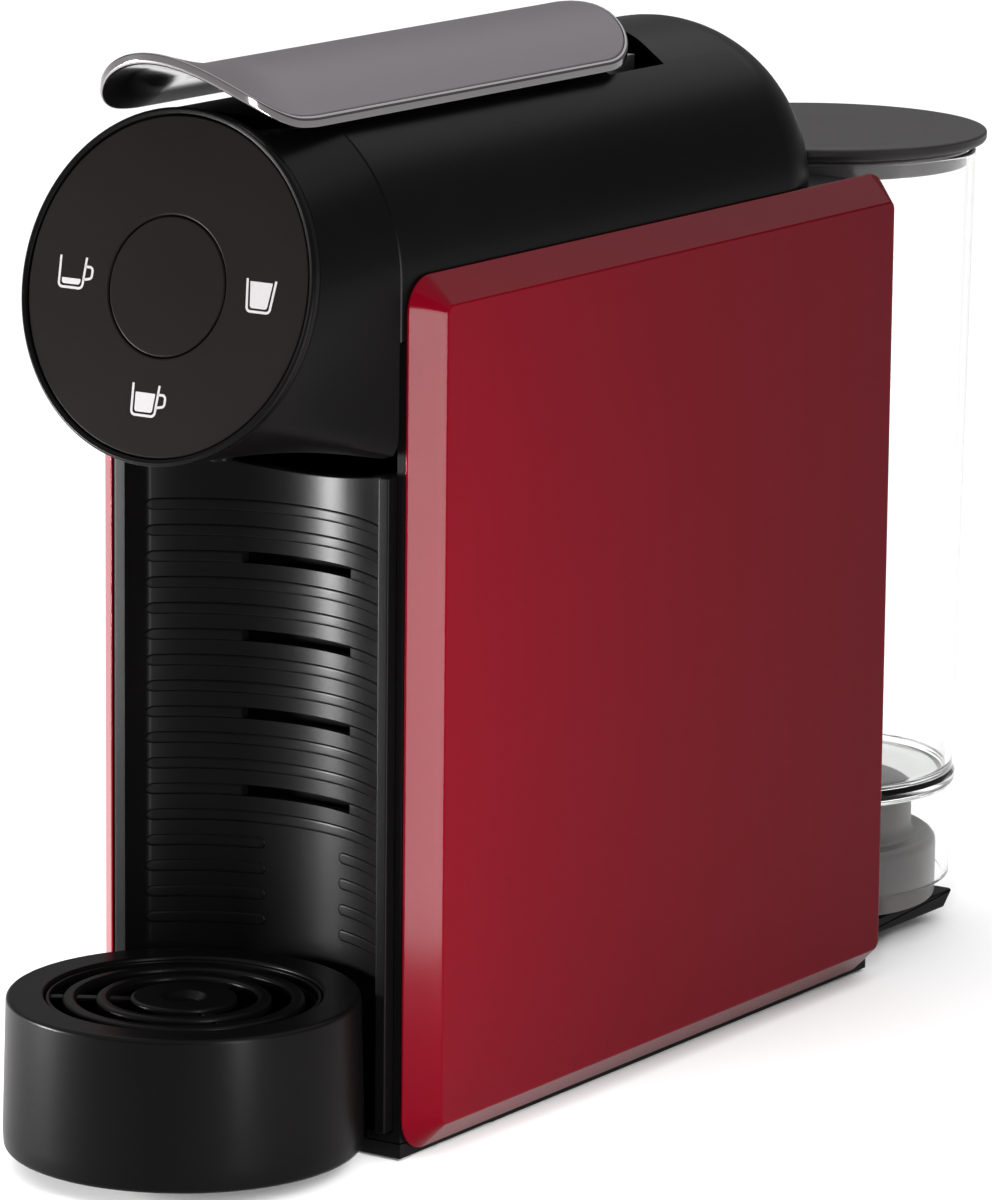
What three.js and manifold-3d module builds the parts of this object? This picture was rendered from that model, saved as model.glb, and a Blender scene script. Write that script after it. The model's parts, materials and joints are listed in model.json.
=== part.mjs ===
// A slim capsule espresso machine: two chamfered side panels on a black chassis, a round-nosed
// head with a tilted control face, a top lever that closes the brew chamber, a pull-out drawer
// with a hanging drip tray, and a clear water tank on a dock at the back.
// Millimetres, +Z up, the front faces -Y.

import * as THREE from 'three';
import { mergeVertices } from 'three/addons/utils/BufferGeometryUtils.js';
import Module from 'manifold-3d';

const wasm = await Module();
wasm.setup();

// ---- driving dimensions ----

const gap = 0.3;                    // clearance between neighbouring pieces
const machineWidth = 104;           // over the side panels
const panelFrontY = -102;
const panelRearY = 123;
const panelBottomZ = 1.9;
const panelTopZ = 221.5;
const panelThickness = 7.6;
const panelChamfer = 7;
const panelWall = 2.3;
const panelCornerRadius = 9;

const shellWall = 2.2;
const baseBottomZ = 0.6;
const baseTopZ = 4.2;
const floorThickness = 2.4;
const footStripTopZ = 2.4;

const hoodCrownRise = 44;           // height of the hood's crown above its springing line
const hoodBottomZ = 206;
const hoodFrontY = -103.7;
const hoodStraightEndY = 75;        // where the hood's rounded rear end begins
const hoodRearLength = 38.5;
const recessZ = 257.3;              // flat seat under the lever
const recessRearY = 41.5;
const slotHalfWidth = 19;           // capsule slot in the seat
const slotFrontY = -77;
const slotRearY = -50;

const faceRadius = 43.4;
const faceTiltDeg = 13;
const faceCentreY = -138.8;
const faceCentreZ = 219.9;
const faceDepth = 1.6;
const bezelWidth = 1.7;
const buttonRadius = 17;
const buttonTravel = 1.2;
const iconRadius = 27.6;
const iconWidth = 13;
const iconHeight = 9;
const boardRadius = 36;
const headBottomZ = 176.8;

const leverHalfWidth = 27.7;
const leverRearCentreY = 13;
const leverFrontCentreY = -121.5;
const leverFrontRatio = 0.87;       // length over width of the rounded front end
const leverEdgeZ = 260.4;
const leverCrown = 11.2;
const leverThickness = 2.8;
const lipRise = 9.6;
const lipStartY = -113.4;
const lipLength = 58.7;
const inlayDepth = 0.9;
const inlayBorder = 0.9;

const hingeY = 30;
const hingeZ = 250;
const hingePinRadius = 2.9;
const crankRadius = 9;
const crankRestDeg = 40;            // the crank's angle past straight down at rest
const drivePinRadius = 2;
const rockerZ = 230;
const rockerPinRadius = 2.5;
const rockerRestDeg = 23.9;
const rockerArm = 34;
const rockerForkEnd = 15.5;
const rockerForkSlot = 5.9;

const brewZ = 210;                  // axis of the brew chamber
const cageFrontY = -76.9;
const cageLength = 25;
const cageRadius = 19;
const cageBore = 16.5;
const tailRadius = 4;
const tailRearY = 76;
const cheekInnerX = cageRadius + 1.4;
const cheekThickness = 2.7;

const spoutY = -117;
const spoutRadius = 3;
const spoutTipZ = 174;

const trayCentreY = -132;
const trayTopRadius = 43.8;
const trayBottomRadius = 44.7;
const trayBottomZ = 4.6;
const trayTopZ = 43;
const trayWall = 2.2;
const trayMouthRadius = 34.4;
const grilleDrop = 0.8;
const hookHalfWidth = 16;
const hookThickness = 2.2;
const hookZ = 38;

const wallThickness = 2.4;          // concave drawer front, concentric with the tray
const wallTopZ = 172.5;
const wallDip = 7;
const stripWidth = 3.2;
const stripFrontY = -105;
const stripDepth = 5.02;            // from the strips' front back to the wall's ends
const slotHeight = 3;
const slotPitch = 20;
const firstSlotZ = 82.6;
const visibleSlots = 4;
const binRearY = -10;
const binTopZ = 150;
const binWall = 1.8;

const tankTopRadius = 44.1;
const tankClearance = 3.4;          // between the hood's rear end and the tank
const tankCentreY = hoodStraightEndY + hoodRearLength + tankClearance + tankTopRadius;
const tankBottomRadius = 41.3;
const tankBottomZ = 14.8;
const tankTopZ = 220.3;
const tankFloorZ = 42.3;
const tankFloorThickness = 2.7;
const tankWall = 2;
const valveRadius = 6;
const lidRadius = tankTopRadius + 2.9;
const lidThickness = 4.3;
const collarHeight = 4.4;

const dockRadius = 37.5;
const dockNeckRadius = 30.5;
const dockBottomZ = 8.5;
const dockShoulderZ = 26.5;
const dockTopZ = 38.4;

// ---- sizes that follow ----

const panelInnerX = machineWidth / 2 - panelThickness;
const chassisX = panelInnerX - gap;
const chassisInnerX = chassisX - shellWall;
const drawerX = chassisInnerX - gap;
const floorZ = baseTopZ + gap;
const floorTopZ = floorZ + floorThickness;
const hoodRadius = chassisX;
const hoodCentreZ = panelTopZ - 1.1;
const backWallY = tankCentreY - tankTopRadius - 1.2;
const overallMidY = (trayCentreY - trayBottomRadius + tankCentreY + lidRadius) / 2;
const wallEndX = drawerX - stripWidth;
const wallRadius = Math.hypot(wallEndX, stripFrontY + stripDepth - trayCentreY);
const deg = Math.PI / 180;

// ---- solids ----

// A closed three.js geometry as a manifold solid, with its faces pointing out.
function solid(geometry) {
  geometry.deleteAttribute('normal');
  geometry.deleteAttribute('uv');
  const merged = mergeVertices(geometry, 1e-4);
  const index = merged.index.array;
  const at = merged.attributes.position;
  const kept = [];
  const a = new THREE.Vector3();
  const b = new THREE.Vector3();
  const c = new THREE.Vector3();
  let volume = 0;
  for (let i = 0; i < index.length; i += 3) {
    const [p, q, r] = [index[i], index[i + 1], index[i + 2]];
    if (p === q || q === r || r === p) continue;
    a.fromBufferAttribute(at, p);
    b.fromBufferAttribute(at, q);
    c.fromBufferAttribute(at, r);
    volume += a.dot(b.cross(c));
    kept.push(p, q, r);
  }
  if (volume < 0) kept.reverse();
  const mesh = new wasm.Mesh({
    numProp: 3,
    vertProperties: new Float32Array(at.array),
    triVerts: new Uint32Array(kept),
  });
  return new wasm.Manifold(mesh);
}

function toGeometry(shape) {
  const mesh = shape.getMesh();
  const geometry = new THREE.BufferGeometry();
  geometry.setAttribute('position', new THREE.BufferAttribute(mesh.vertProperties, 3));
  geometry.setIndex(new THREE.BufferAttribute(mesh.triVerts, 1));
  geometry.computeVertexNormals();
  return geometry;
}

const join = (first, ...rest) => rest.reduce((all, next) => all.add(next), first);
const cut = (first, ...rest) => rest.reduce((all, next) => all.subtract(next), first);

function box(x0, x1, y0, y1, z0, z1) {
  const shape = new THREE.BoxGeometry(x1 - x0, y1 - y0, z1 - z0);
  return solid(shape.translate((x0 + x1) / 2, (y0 + y1) / 2, (z0 + z1) / 2));
}

const slab = (halfX, y0, y1, z0, z1) => box(-halfX, halfX, y0, y1, z0, z1);

function extruded(points, depth) {
  const shape = new THREE.Shape(points.map(([u, v]) => new THREE.Vector2(u, v)));
  return new THREE.ExtrudeGeometry(shape, { depth, bevelEnabled: false });
}

// Outline points are [x, y] for prismZ, [y, z] for prismX and [x, z] for prismY.
const prismZ = (points, z0, z1) => solid(extruded(points, z1 - z0).translate(0, 0, z0));

function prismX(points, x0, x1) {
  const axes = new THREE.Matrix4().makeBasis(
    new THREE.Vector3(0, 1, 0), new THREE.Vector3(0, 0, 1), new THREE.Vector3(1, 0, 0));
  return solid(extruded(points, x1 - x0).applyMatrix4(axes).translate(x0, 0, 0));
}

const prismY = (points, y0, y1) =>
  solid(extruded(points, y1 - y0).rotateX(Math.PI / 2).translate(0, y1, 0));

// Turned about Z from [radius, height] pairs; ring closes a profile that is clear of the axis.
function turned(profile, segments = 32, ring = false) {
  const points = profile.map(([r, z]) => new THREE.Vector2(r, z));
  if (ring) points.push(points[0].clone());
  return new THREE.LatheGeometry(points, segments).rotateX(Math.PI / 2);
}

const turnedZ = (profile, x = 0, y = 0, segments = 32, ring = false) =>
  solid(turned(profile, segments, ring).translate(x, y, 0));

// Turned about a line along Y (heights become Y) or along X.
const turnedY = (profile, x, z, segments = 32, ring = false) =>
  solid(turned(profile, segments, ring).rotateX(-Math.PI / 2).translate(x, 0, z));

const turnedX = (profile, y, z, segments = 32, ring = false) =>
  solid(turned(profile, segments, ring).rotateY(Math.PI / 2).translate(0, y, z));

const rod = (r, from, to) => [[0, from], [r, from], [r, to], [0, to]];
const pipe = (inner, outer, from, to) => [[inner, from], [outer, from], [outer, to], [inner, to]];

function tube(points, radius, sides = 5) {
  const path = new THREE.CatmullRomCurve3(points.map((p) => new THREE.Vector3(...p)));
  const section = new THREE.Shape().absarc(0, 0, radius, 0, 2 * Math.PI);
  const steps = Math.ceil(path.getLength() / (radius * 3));
  const options = { steps, bevelEnabled: false, extrudePath: path, curveSegments: sides };
  return solid(new THREE.ExtrudeGeometry(section, options));
}

// A skin over closed loops that have the same number of points, with flat ends.
function loft(loops) {
  const count = loops[0].length;
  const at = [];
  const index = [];
  for (const loop of loops) for (const p of loop) at.push(p.x, p.y, p.z);
  for (let k = 0; k + 1 < loops.length; k++) {
    for (let i = 0; i < count; i++) {
      const j = (i + 1) % count;
      const low = k * count;
      const high = low + count;
      index.push(low + i, low + j, high + j, low + i, high + j, high + i);
    }
  }
  const ends = [loops[0], loops[loops.length - 1]];
  ends.forEach((loop, end) => {
    const middle = loop.reduce((sum, p) => sum.add(p), new THREE.Vector3()).divideScalar(count);
    const centre = at.length / 3;
    const start = end * (loops.length - 1) * count;
    at.push(middle.x, middle.y, middle.z);
    for (let i = 0; i < count; i++) {
      const j = (i + 1) % count;
      if (end) index.push(centre, start + i, start + j);
      else index.push(centre, start + j, start + i);
    }
  });
  const geometry = new THREE.BufferGeometry();
  geometry.setAttribute('position', new THREE.Float32BufferAttribute(at, 3));
  geometry.setIndex(index);
  return solid(geometry);
}

// ---- materials ----

const finish = (color, roughness, metalness = 0) =>
  new THREE.MeshStandardMaterial({ color, roughness, metalness });

const redGloss = finish(0x8a1622, 0.28);
const satinBlack = finish(0x1b1a1b, 0.45);
const glossBlack = finish(0x1d1a1a, 0.22);
const leverGrey = finish(0x6a6266, 0.5, 0.2);
const chromed = finish(0xc8c8ca, 0.12, 1);
const clearTank = new THREE.MeshStandardMaterial({
  color: 0xf2f4f4, roughness: 0.08, transparent: true, opacity: 0.3,
});
const smokedClear = finish(0x6e6a6a, 0.25);
const dockGrey = finish(0x55504f, 0.45);
const iconWhite = finish(0xd8d6d8, 0.4);
const boardGreen = finish(0x1e5a34, 0.5);
const steel = finish(0x9a9a9c, 0.3, 1);
const castAlloy = finish(0xa9a9a6, 0.5, 1);
const rubberBlack = finish(0x161616, 0.85);
const hoseWhite = finish(0xdad8d2, 0.5);
const glassNylon = finish(0xb9b4a6, 0.6);

// ---- assembly ----

const machine = new THREE.Group();
const face = new THREE.Group();     // the tilted control face: its own +Z points out of it
face.position.set(0, faceCentreY, faceCentreZ);
face.rotation.x = (90 - faceTiltDeg) * deg;

function place(name, shape, material, parent = machine) {
  const mesh = new THREE.Mesh(toGeometry(shape), material);
  mesh.name = name;
  parent.add(mesh);
}

// ---- chassis, base and panels ----

const rearFoot = { halfX: 34, topRearY: 188, bottomRearY: 183, bottomZ: 3.4 };
const strip = { innerX: 33, outerX: 43.5, frontY: -66, rearY: 97, slant: 6 };
const baseScrews = { x: 0, frontY: -60, rearY: 60, headRadius: 3, shankRadius: 1.4 };
const gland = { x: -28, z: 16, neckRadius: 4.6, flangeRadius: 7, boreRadius: 3.3 };
const inletHose = { z: 11.6, radius: 2.4 };

function buildBase() {
  let pan = slab(chassisX, panelFrontY + gap, panelRearY - gap, baseBottomZ, baseTopZ);
  for (const side of [-1, 1]) {
    const [x0, x1] = [side * strip.innerX, side * strip.outerX].sort((p, q) => p - q);
    const outline = [
      [strip.frontY, footStripTopZ], [strip.rearY, footStripTopZ],
      [strip.rearY - strip.slant, 0], [strip.frontY + strip.slant, 0],
    ];
    pan = cut(pan, box(x0 - gap, x1 + gap, strip.frontY - gap, strip.rearY + gap, 0, footStripTopZ + gap));
    place(side < 0 ? 'foot_strip_left' : 'foot_strip_right', prismX(outline, x0, x1), rubberBlack);
  }
  const headZ = baseBottomZ + 0.2;
  for (const [name, y] of [['base_screw_front', baseScrews.frontY], ['base_screw_rear', baseScrews.rearY]]) {
    const { x, headRadius, shankRadius } = baseScrews;
    pan = cut(pan,
      turnedZ(rod(headRadius + gap, baseBottomZ - 1, baseBottomZ + 2), x, y, 16),
      turnedZ(rod(shankRadius + gap, baseBottomZ, baseTopZ + 1), x, y, 16));
    const screw = join(
      turnedZ(rod(headRadius, headZ, headZ + 1.3), x, y, 16),
      turnedZ(rod(shankRadius, headZ + 1, floorTopZ), x, y, 16));
    place(name, screw, steel);
  }
  place('base_pan', pan, satinBlack);
}

function buildChassis() {
  const top = hoodBottomZ - gap;
  let shell = slab(chassisX, panelFrontY + gap, panelRearY - gap, floorZ, top);
  shell = cut(shell,
    slab(chassisInnerX, panelFrontY - 1, backWallY - shellWall, floorTopZ, top + 1),
    slab(chassisInnerX, backWallY, panelRearY + 1, floorZ - 1, top + 1),
    turnedZ(rod(trayBottomRadius + 0.6, floorZ - 1, floorTopZ + 1), 0, trayCentreY, 64));
  for (const y of [baseScrews.frontY, baseScrews.rearY]) {
    shell = cut(shell, turnedZ(rod(baseScrews.shankRadius + gap, floorZ - 1, floorTopZ + 1), 0, y, 16));
  }
  shell = cut(shell,
    turnedY(rod(gland.neckRadius + gap, backWallY - 4, backWallY + 2), gland.x, gland.z, 24),
    turnedY(rod(inletHose.radius + gap, backWallY - 4, backWallY + 2), 0, inletHose.z, 16));
  place('main_frame', shell, satinBlack);
}

// A rounded rectangle in the plane x, drawn round the panel's outline moved in by inset.
function panelLoop(x, inset) {
  const radius = Math.max(panelCornerRadius - inset, 2);
  const [y0, y1] = [panelFrontY + inset, panelRearY - inset];
  const [z0, z1] = [panelBottomZ + inset, panelTopZ - inset];
  const corners = [[y1, z1, 0], [y0, z1, 90], [y0, z0, 180], [y1, z0, 270]];
  const loop = [];
  for (const [y, z, start] of corners) {
    const cy = y === y1 ? y - radius : y + radius;
    const cz = z === z1 ? z - radius : z + radius;
    for (let a = start; a <= start + 90; a += 22.5) {
      loop.push(new THREE.Vector3(x, cy + radius * Math.cos(a * deg), cz + radius * Math.sin(a * deg)));
    }
  }
  return loop;
}

function buildPanel(side) {
  const outerX = machineWidth / 2;
  const chamferX = outerX - panelChamfer;
  const pocketX = outerX - panelWall;
  const at = (x, inset) => panelLoop(side * x, inset);
  let panel = loft([at(panelInnerX, 0), at(chamferX, 0), at(outerX, panelChamfer)]);
  const pocket = loft([
    at(panelInnerX - 1, panelWall), at(chamferX, panelWall), at(pocketX, panelChamfer + 1),
  ]);
  panel = cut(panel, pocket);
  for (const y of [panelFrontY + 30, panelRearY - 30]) {
    for (const z of [panelBottomZ + 30, panelTopZ - 40]) {
      const [from, to] = [side * panelInnerX, side * (pocketX + 1)].sort((p, q) => p - q);
      panel = panel.add(turnedX(rod(3.5, from, to), y, z, 8));
    }
  }
  place(side < 0 ? 'left_side_panel' : 'right_side_panel', panel, redGloss);
}

// ---- hood and head ----

// Upright sides and a round crown, [x, z], moved in by inset and cut off at bottom.
function hoodOutline(inset, bottom) {
  const points = [[hoodRadius - inset, bottom]];
  for (let a = 0; a <= 180; a += 180 / 16) {
    points.push([(hoodRadius - inset) * Math.cos(a * deg),
      hoodCentreZ + (hoodCrownRise - inset) * Math.sin(a * deg)]);
  }
  points.push([-(hoodRadius - inset), bottom]);
  return points;
}

function hoodBody(inset, frontY, bottom, rearBottom) {
  const straight = prismY(hoodOutline(inset, bottom), frontY, hoodStraightEndY);
  const round = new THREE.SphereGeometry(1, 32, 20)
    .scale(hoodRadius - inset, hoodRearLength - inset, hoodCrownRise - inset)
    .translate(0, hoodStraightEndY, hoodCentreZ);
  const rear = solid(round).intersect(
    slab(hoodRadius, hoodStraightEndY - 1, hoodStraightEndY + hoodRearLength, rearBottom, hoodCentreZ * 2));
  return straight.add(rear);
}

// The space that the lever's rear end sweeps, turned about the hinge.
function leverSweep() {
  const half = [[24.6, 0], [24.2, 4.5], [22.8, 9.5], [20.6, 14.2], [18.8, 17.2], [16.8, 20.4], [14.6, 24.8]];
  const mirrored = half.slice(1).reverse().map(([r, x]) => [r, -x]);
  const last = half[half.length - 1][1];
  return turnedX([[0, -last], ...mirrored, ...half, [0, last]], hingeY, hingeZ, 20);
}

function buildHood() {
  const underSeatZ = recessZ - shellWall;
  const outside = hoodBody(0, hoodFrontY, hoodBottomZ, hoodCentreZ - 0.5);
  const inside = hoodBody(shellWall, hoodFrontY - 1, hoodBottomZ - 1, hoodCentreZ - 2)
    .subtract(slab(60, hoodFrontY - 2, recessRearY + shellWall, underSeatZ, 300));
  const hood = cut(outside, inside,
    slab(60, hoodFrontY - 2, recessRearY, recessZ, 300),
    slab(slotHalfWidth, slotFrontY, slotRearY, underSeatZ - 1, 300),
    leverSweep());
  place('top_housing', hood, satinBlack);

  const deckZ = hoodCentreZ - 0.5 - gap;
  const deckY = backWallY + 0.9;
  const deck = cut(
    slab(chassisX, hoodStraightEndY + gap, deckY, hoodBottomZ, deckZ),
    slab(chassisInnerX, hoodStraightEndY - 1, deckY - shellWall, hoodBottomZ - 1, deckZ - shellWall));
  place('rear_deck', deck, satinBlack);
}

const tilt = faceTiltDeg * deg;

// A point of the tilted face, by its right, up and outward distances from the centre.
function facePoint(right, up, out) {
  return new THREE.Vector3(
    right,
    faceCentreY + up * Math.sin(tilt) - out * Math.cos(tilt),
    faceCentreZ + up * Math.cos(tilt) + out * Math.sin(tilt));
}

// The head's rear section: the hood's crown above, square below, [x, z] by angle.
function headRearPoint(angle, inset, y) {
  const c = Math.cos(angle);
  const s = Math.sin(angle);
  const side = hoodRadius - inset;
  if (s >= 0) return new THREE.Vector3(side * c, y, hoodCentreZ + (hoodCrownRise - inset) * s);
  const drop = hoodCentreZ - headBottomZ - inset;
  const reach = Math.min(side / Math.abs(c), drop / Math.abs(s));
  return new THREE.Vector3(reach * c, y, hoodCentreZ + reach * s);
}

function headBody(inset, frontOut, rearY) {
  const front = [];
  const rear = [];
  for (let i = 0; i < 40; i++) {
    const angle = (i / 40) * 2 * Math.PI;
    const radius = faceRadius - 0.3 - inset;
    front.push(facePoint(radius * Math.cos(angle), radius * Math.sin(angle), frontOut));
    rear.push(headRearPoint(angle, inset, rearY));
  }
  return loft([front, rear]);
}

function buildHead() {
  const rearY = hoodFrontY - gap;
  const seatFrontY = -126.5;
  const inside = headBody(shellWall, -faceDepth, rearY + 2)
    .subtract(slab(60, seatFrontY - shellWall, rearY + 3, recessZ - shellWall, 300));
  const shroud = cut(headBody(0, -faceDepth - gap, rearY), inside,
    slab(60, seatFrontY, rearY + 1, recessZ, 300),
    turnedZ(rod(5.2, headBottomZ - 5, headBottomZ + 12), 0, spoutY, 24));
  place('head_shroud', shroud, satinBlack);
}

function buildFace() {
  const plateRadius = faceRadius - bezelWidth - gap;
  const bezel = solid(turned([
    [faceRadius - bezelWidth, -faceDepth], [faceRadius, -faceDepth], [faceRadius, 0.3],
    [faceRadius - 0.7, 1], [faceRadius - bezelWidth, 0.7],
  ], 40, true));
  place('face_bezel', bezel, satinBlack, face);

  let plate = cut(
    solid(turned(rod(plateRadius, -faceDepth, 0.3), 48)),
    solid(turned(rod(buttonRadius + gap, -3, 2), 32)));
  const boardZ = -10.6;
  const icons = [
    ['icon_lens_left', -iconRadius, 0], ['icon_lens_right', iconRadius, 0],
    ['icon_lens_lower', 0, -iconRadius],
  ];
  for (const [name, u, v] of icons) {
    const [w, h] = [iconWidth / 2, iconHeight / 2];
    plate = cut(plate, box(u - w - gap, u + w + gap, v - h - gap, v + h + gap, -3, 2));
    place(name, box(u - w, u + w, v - h, v + h, boardZ + 1.9, 0.3), iconWhite, face);
  }
  place('face_plate', plate, glossBlack, face);

  const stemEnd = boardZ + 4.2;
  const button = join(
    solid(turned(rod(buttonRadius, -faceDepth, 0.3), 32)),
    solid(turned(rod(3, stemEnd, -1), 12)));
  place('power_button', button, glossBlack, face);
  const board = join(
    solid(turned(rod(boardRadius, boardZ, boardZ + 1.6), 40)),
    box(-2.5, 2.5, -2.5, 2.5, boardZ + 1, boardZ + 2.4),
    box(12, 26, -22, -12, boardZ + 1, boardZ + 3.4),
    box(-26, -14, 14, 24, boardZ - 2, boardZ + 0.5));
  place('control_board', board, boardGreen, face);
  const springFront = -faceDepth - buttonTravel - 0.9;
  place('button_spring', coil(4.2, 0.45, boardZ + 2.9, springFront, 4), steel, face);
}

function coil(radius, wire, z0, z1, turns) {
  class Helix extends THREE.Curve {
    getPoint(t, target = new THREE.Vector3()) {
      const a = t * turns * 2 * Math.PI;
      return target.set(radius * Math.cos(a), radius * Math.sin(a), z0 + (z1 - z0) * t);
    }
  }
  const section = new THREE.Shape().absarc(0, 0, wire, 0, 2 * Math.PI);
  const options = { steps: turns * 9, bevelEnabled: false, extrudePath: new Helix(), curveSegments: 3 };
  return solid(new THREE.ExtrudeGeometry(section, options));
}

// ---- lever and its linkage ----

// Height of the lever's top above its straight part, which rises into the front lip.
function lipHeight(y) {
  const t = THREE.MathUtils.clamp((lipStartY - y) / lipLength, 0, 1);
  return lipRise * t * t * (3 - 2 * t);
}

// The lever is crowned across, like the hood below it.
const leverTop = (x, y) => leverEdgeZ + lipHeight(y) + leverCrown * (1 - (x / leverHalfWidth) ** 2);

// A curved sheet that follows the lever's top between two depths below it.
function leverSheet(depthTop, depthBottom) {
  const columns = 10;
  const ys = [];
  const frontY = leverFrontCentreY - leverHalfWidth * leverFrontRatio - 1;
  ys.push(leverRearCentreY + leverHalfWidth + 1);
  for (let i = 0; i <= 6; i++) ys.push(lipStartY + (i / 6) * (frontY - lipStartY));
  const loops = ys.map((y) => {
    const top = [];
    const bottom = [];
    for (let i = 0; i <= columns; i++) {
      const x = -leverHalfWidth - 1 + (i / columns) * 2 * (leverHalfWidth + 1);
      top.push(new THREE.Vector3(x, y, leverTop(x, y) - depthTop));
      bottom.unshift(new THREE.Vector3(x, y, leverTop(x, y) - depthBottom));
    }
    return [...top, ...bottom];
  });
  return loft(loops);
}

function leverPlan(inset, segments) {
  const radius = leverHalfWidth - inset;
  const points = [];
  for (let i = 0; i <= segments; i++) {
    const a = (i / segments) * 180 * deg;
    points.push([radius * Math.cos(a), leverRearCentreY + radius * Math.sin(a)]);
  }
  for (let i = 0; i <= segments; i++) {
    const a = (180 + (i / segments) * 180) * deg;
    const length = leverHalfWidth * leverFrontRatio - inset;
    points.push([radius * Math.cos(a), leverFrontCentreY + length * Math.sin(a)]);
  }
  return prismZ(points, leverEdgeZ - 5, leverEdgeZ + 30);
}

const crankY = hingeY + crankRadius * Math.sin(crankRestDeg * deg);
const crankZ = hingeZ - crankRadius * Math.cos(crankRestDeg * deg);
const flangeZ = hingeZ + 8.9;

function buildLever() {
  let body = leverSheet(0, leverThickness).intersect(leverPlan(0, 14));
  for (const x of [-10, 10]) {
    const postTop = leverTop(x, hingeY) - leverThickness / 2;
    body = body.add(turnedZ(rod(3, flangeZ + gap, postTop), x, hingeY - 3, 12));
  }
  body = cut(body, leverSheet(-5, inlayDepth + gap).intersect(leverPlan(inlayBorder, 14)));
  place('lever_body', body, chromed);
  const inlay = leverSheet(0, inlayDepth).intersect(leverPlan(inlayBorder + gap, 14));
  place('lever_inlay', inlay, leverGrey);

  const armOutline = [
    [20, flangeZ], [41, flangeZ], [41, 244], [38, 239.8], [33.5, 239.8], [25.5, 246], [22, 254],
  ];
  const bracket = cut(
    join(
      prismX(armOutline, 14, 17), prismX(armOutline, -17, -14),
      slab(17, 20, 41, flangeZ - 1.5, flangeZ),
      turnedX(rod(drivePinRadius, -15, 15), crankY, crankZ, 16)),
    turnedX(rod(hingePinRadius + gap, -20, 20), hingeY, hingeZ, 24));
  place('lever_bracket', bracket, steel);
  const pinEnd = cheekInnerX + cheekThickness;
  place('lever_shaft', turnedX(rod(hingePinRadius, -pinEnd, pinEnd), hingeY, hingeZ, 24), steel);
}

function buildRocker() {
  const turn = (u, v) => {
    const a = -rockerRestDeg * deg;
    return [hingeY + u * Math.cos(a) - v * Math.sin(a), rockerZ + u * Math.sin(a) + v * Math.cos(a)];
  };
  const half = rockerForkSlot / 2;
  const outline = [
    [6, 0], [half + 2.6, 8], [half + 2.6, rockerForkEnd], [half, rockerForkEnd], [half, 8],
    [-half, 8], [-half, rockerForkEnd], [-half - 2.6, rockerForkEnd], [-half - 2.6, 8], [-6, 0],
    [-5, -8], [-4.2, -rockerArm], [-2.5, -rockerArm - 4], [2.5, -rockerArm - 4],
    [4.2, -rockerArm], [5, -8],
  ].map(([u, v]) => turn(u, v));
  const [pinY, pinZ] = turn(0, -rockerArm);
  const rocker = cut(
    join(prismX(outline, 8.5, 11.5), prismX(outline, -11.5, -8.5),
      turnedX(rod(drivePinRadius, -10, 10), pinY, pinZ, 16)),
    turnedX(rod(rockerPinRadius + gap, -15, 15), hingeY, rockerZ, 20));
  place('rocker_arm', rocker, steel);
  const pinEnd = cheekInnerX + cheekThickness;
  place('rocker_shaft', turnedX(rod(rockerPinRadius, -pinEnd, pinEnd), hingeY, rockerZ, 20), steel);
  return [pinY, pinZ];
}

// ---- brew group ----

const bridgeY = 54;
const bridgeThickness = 3;
const glandLength = 9;

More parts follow.
